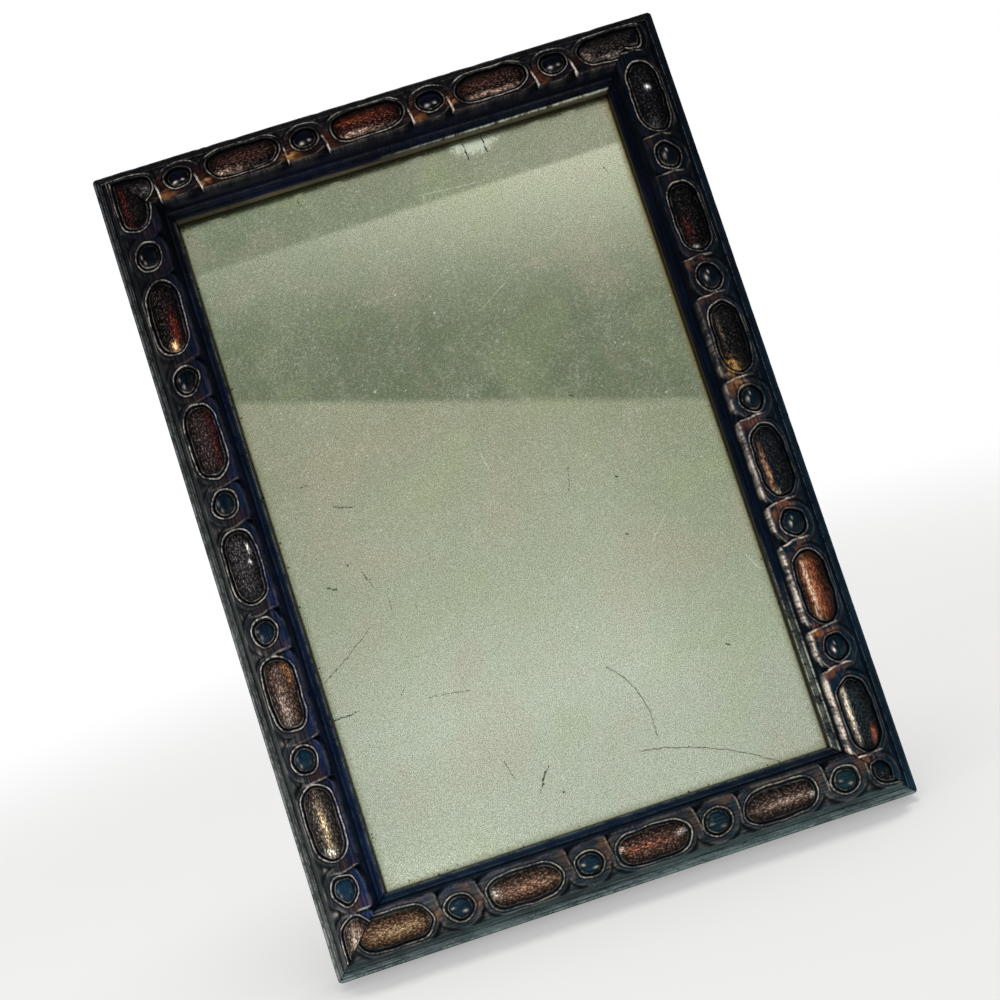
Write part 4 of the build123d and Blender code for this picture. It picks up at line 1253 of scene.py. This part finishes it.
stageSettings = {
    "floor": tone(240, 240, 238),
    "reach": 3.0,
    "whiteFrom": 0.25,  # the floor turns plain white to the camera between these distances
    "whiteTo": 0.75,
    "whiteNear": 0.35,  # share of plain white close to the object
    "ambient": 0.5,
    "room": 0.06,  # what gloss sees beside the bright field
    "fieldHeight": (0.12, 0.68),  # from and to, as the z of a direction
    "fieldHalf": 0.3,
    # Each lamp: place, disc size, power and whether gloss sees it
    "lamps": {
        "key": ((-0.6, -0.3, 0.08), 0.26, 2.2, False),
        "low": ((-0.1, -0.3, 0.012), 0.06, 0.25, True),
        "above": ((0.1, 0.1, 1.1), 0.5, 5.0, False),
    },
}
white = (1.0, 1.0, 1.0, 1.0)


def raysOf(tree, *names):
    node = addNode(tree, "LightPath")
    return [Field(node, f"Is {name} Ray") for name in names]


def mixShaders(amount, first, second):
    return valueOf(amount.tree, "MixShader", 0, {0: amount, 1: first, 2: second})


def makeFloor():
    # A flat floor disc: rings and spokes. Far from the object it is plain white to the camera.
    rings = (np.linspace(0.0, 1.0, 40) ** 2 * stageSettings["reach"])[:, None]
    angles = np.linspace(0.0, math.tau, 97)[:-1]
    points = np.stack([rings * np.cos(angles), rings * np.sin(angles), 0.0 * rings * angles], axis=-1)
    index = np.arange(points[..., 0].size).reshape(points.shape[:2])
    around = np.roll(index, -1, axis=1)
    quads = np.stack([index[1:-1], index[2:], around[2:], around[1:-1]], axis=-1).reshape(-1, 4).tolist()
    fan = np.stack([0 * index[1], index[1], around[1]], axis=-1).tolist()
    mesh = bpy.data.meshes.new("floor")
    mesh.from_pydata(points.reshape(-1, 3).tolist(), [], quads + fan)
    material = bpy.data.materials.new("floor_white")
    material.use_nodes = True
    tree = material.node_tree
    tree.nodes.clear()
    surface = valueOf(tree, "BsdfDiffuse", 0, {"Color": stageSettings["floor"]})
    plain = valueOf(tree, "Emission", 0, {"Color": white, "Strength": 1.0})
    distance = vectorCalc("LENGTH", valueOf(tree, "TexCoord", "Object"), output="Value")
    far = fade(distance, stageSettings["whiteFrom"], stageSettings["whiteTo"], stageSettings["whiteNear"], 1.0)
    shown = raysOf(tree, "Camera")[0] * far
    addNode(tree, "OutputMaterial", {"Surface": mixShaders(shown, surface, plain)})
    mesh.materials.append(material)
    floor = bpy.data.objects.new("floor", mesh)
    scene.collection.objects.link(floor)


def makeWorld():
    # Plain white behind, even light all round. Gloss sees one bright field in front, and a dim room round it.
    world = bpy.data.worlds.new("studio")
    scene.world = world
    world.use_nodes = True
    tree = world.node_tree
    tree.nodes.clear()
    cameraRay, glassRay, glossRay = raysOf(tree, "Camera", "Transmission", "Glossy")
    x, y, z = axes(valueOf(tree, "TexCoord", "Generated"))
    (low, high), half = stageSettings["fieldHeight"], stageSettings["fieldHalf"]
    bright = fade(z, high, high + 0.12, 1.0, 0.0) * fade(calc("ABSOLUTE", x), half, half + 0.2, 1.0, 0.0)
    bright = bright * fade(z, low - 0.15, low) * fade(y, -0.5, -0.6)
    strengths = (stageSettings["ambient"], fade(bright, 0.0, 1.0, stageSettings["room"], 1.0), 1.0)
    even, gloss, behind = [
        valueOf(tree, "Background", 0, {"Color": white, "Strength": strength}) for strength in strengths]
    shown = mixShaders(most(cameraRay, glassRay), mixShaders(glossRay, even, gloss), behind)
    addNode(tree, "OutputWorld", {"Surface": shown})


def makeLamp(name, spot, size, power, glints):
    # A round lamp that looks at the middle of the object.
    lamp = bpy.data.lights.new(name, "AREA")
    lamp.shape = "DISK"
    lamp.size = size
    lamp.energy = power
    item = bpy.data.objects.new(name, lamp)
    item.location = spot
    item.rotation_euler = ((cadBox[0] + cadBox[1]) / 2 - Vector(spot)).to_track_quat("-Z", "Y").to_euler()
    item.visible_glossy = glints
    scene.collection.objects.link(item)


cameraSettings = {
    "place": (-0.01445, -0.45636, 0.16757),
    "turn": (78.82107, 17.1135, -5.90377),
    "sensor": 36.0,
    "lens": 50.4,
    "shift": (-0.0615, 0.121),
}


def makeCamera():
    lens = bpy.data.cameras.new("camera")
    lens.sensor_width = cameraSettings["sensor"]
    lens.lens = cameraSettings["lens"]
    lens.shift_x, lens.shift_y = cameraSettings["shift"]
    lens.clip_start = 0.01
    item = bpy.data.objects.new("camera", lens)
    item.location = cameraSettings["place"]
    item.rotation_euler = Euler([math.radians(angle) for angle in cameraSettings["turn"]])
    scene.collection.objects.link(item)
    scene.camera = item


makeFloor()
makeWorld()
for name, lamp in stageSettings["lamps"].items():
    makeLamp(name, *lamp)
makeCamera()
scene.view_settings.view_transform = "Standard"
print("stage ready")
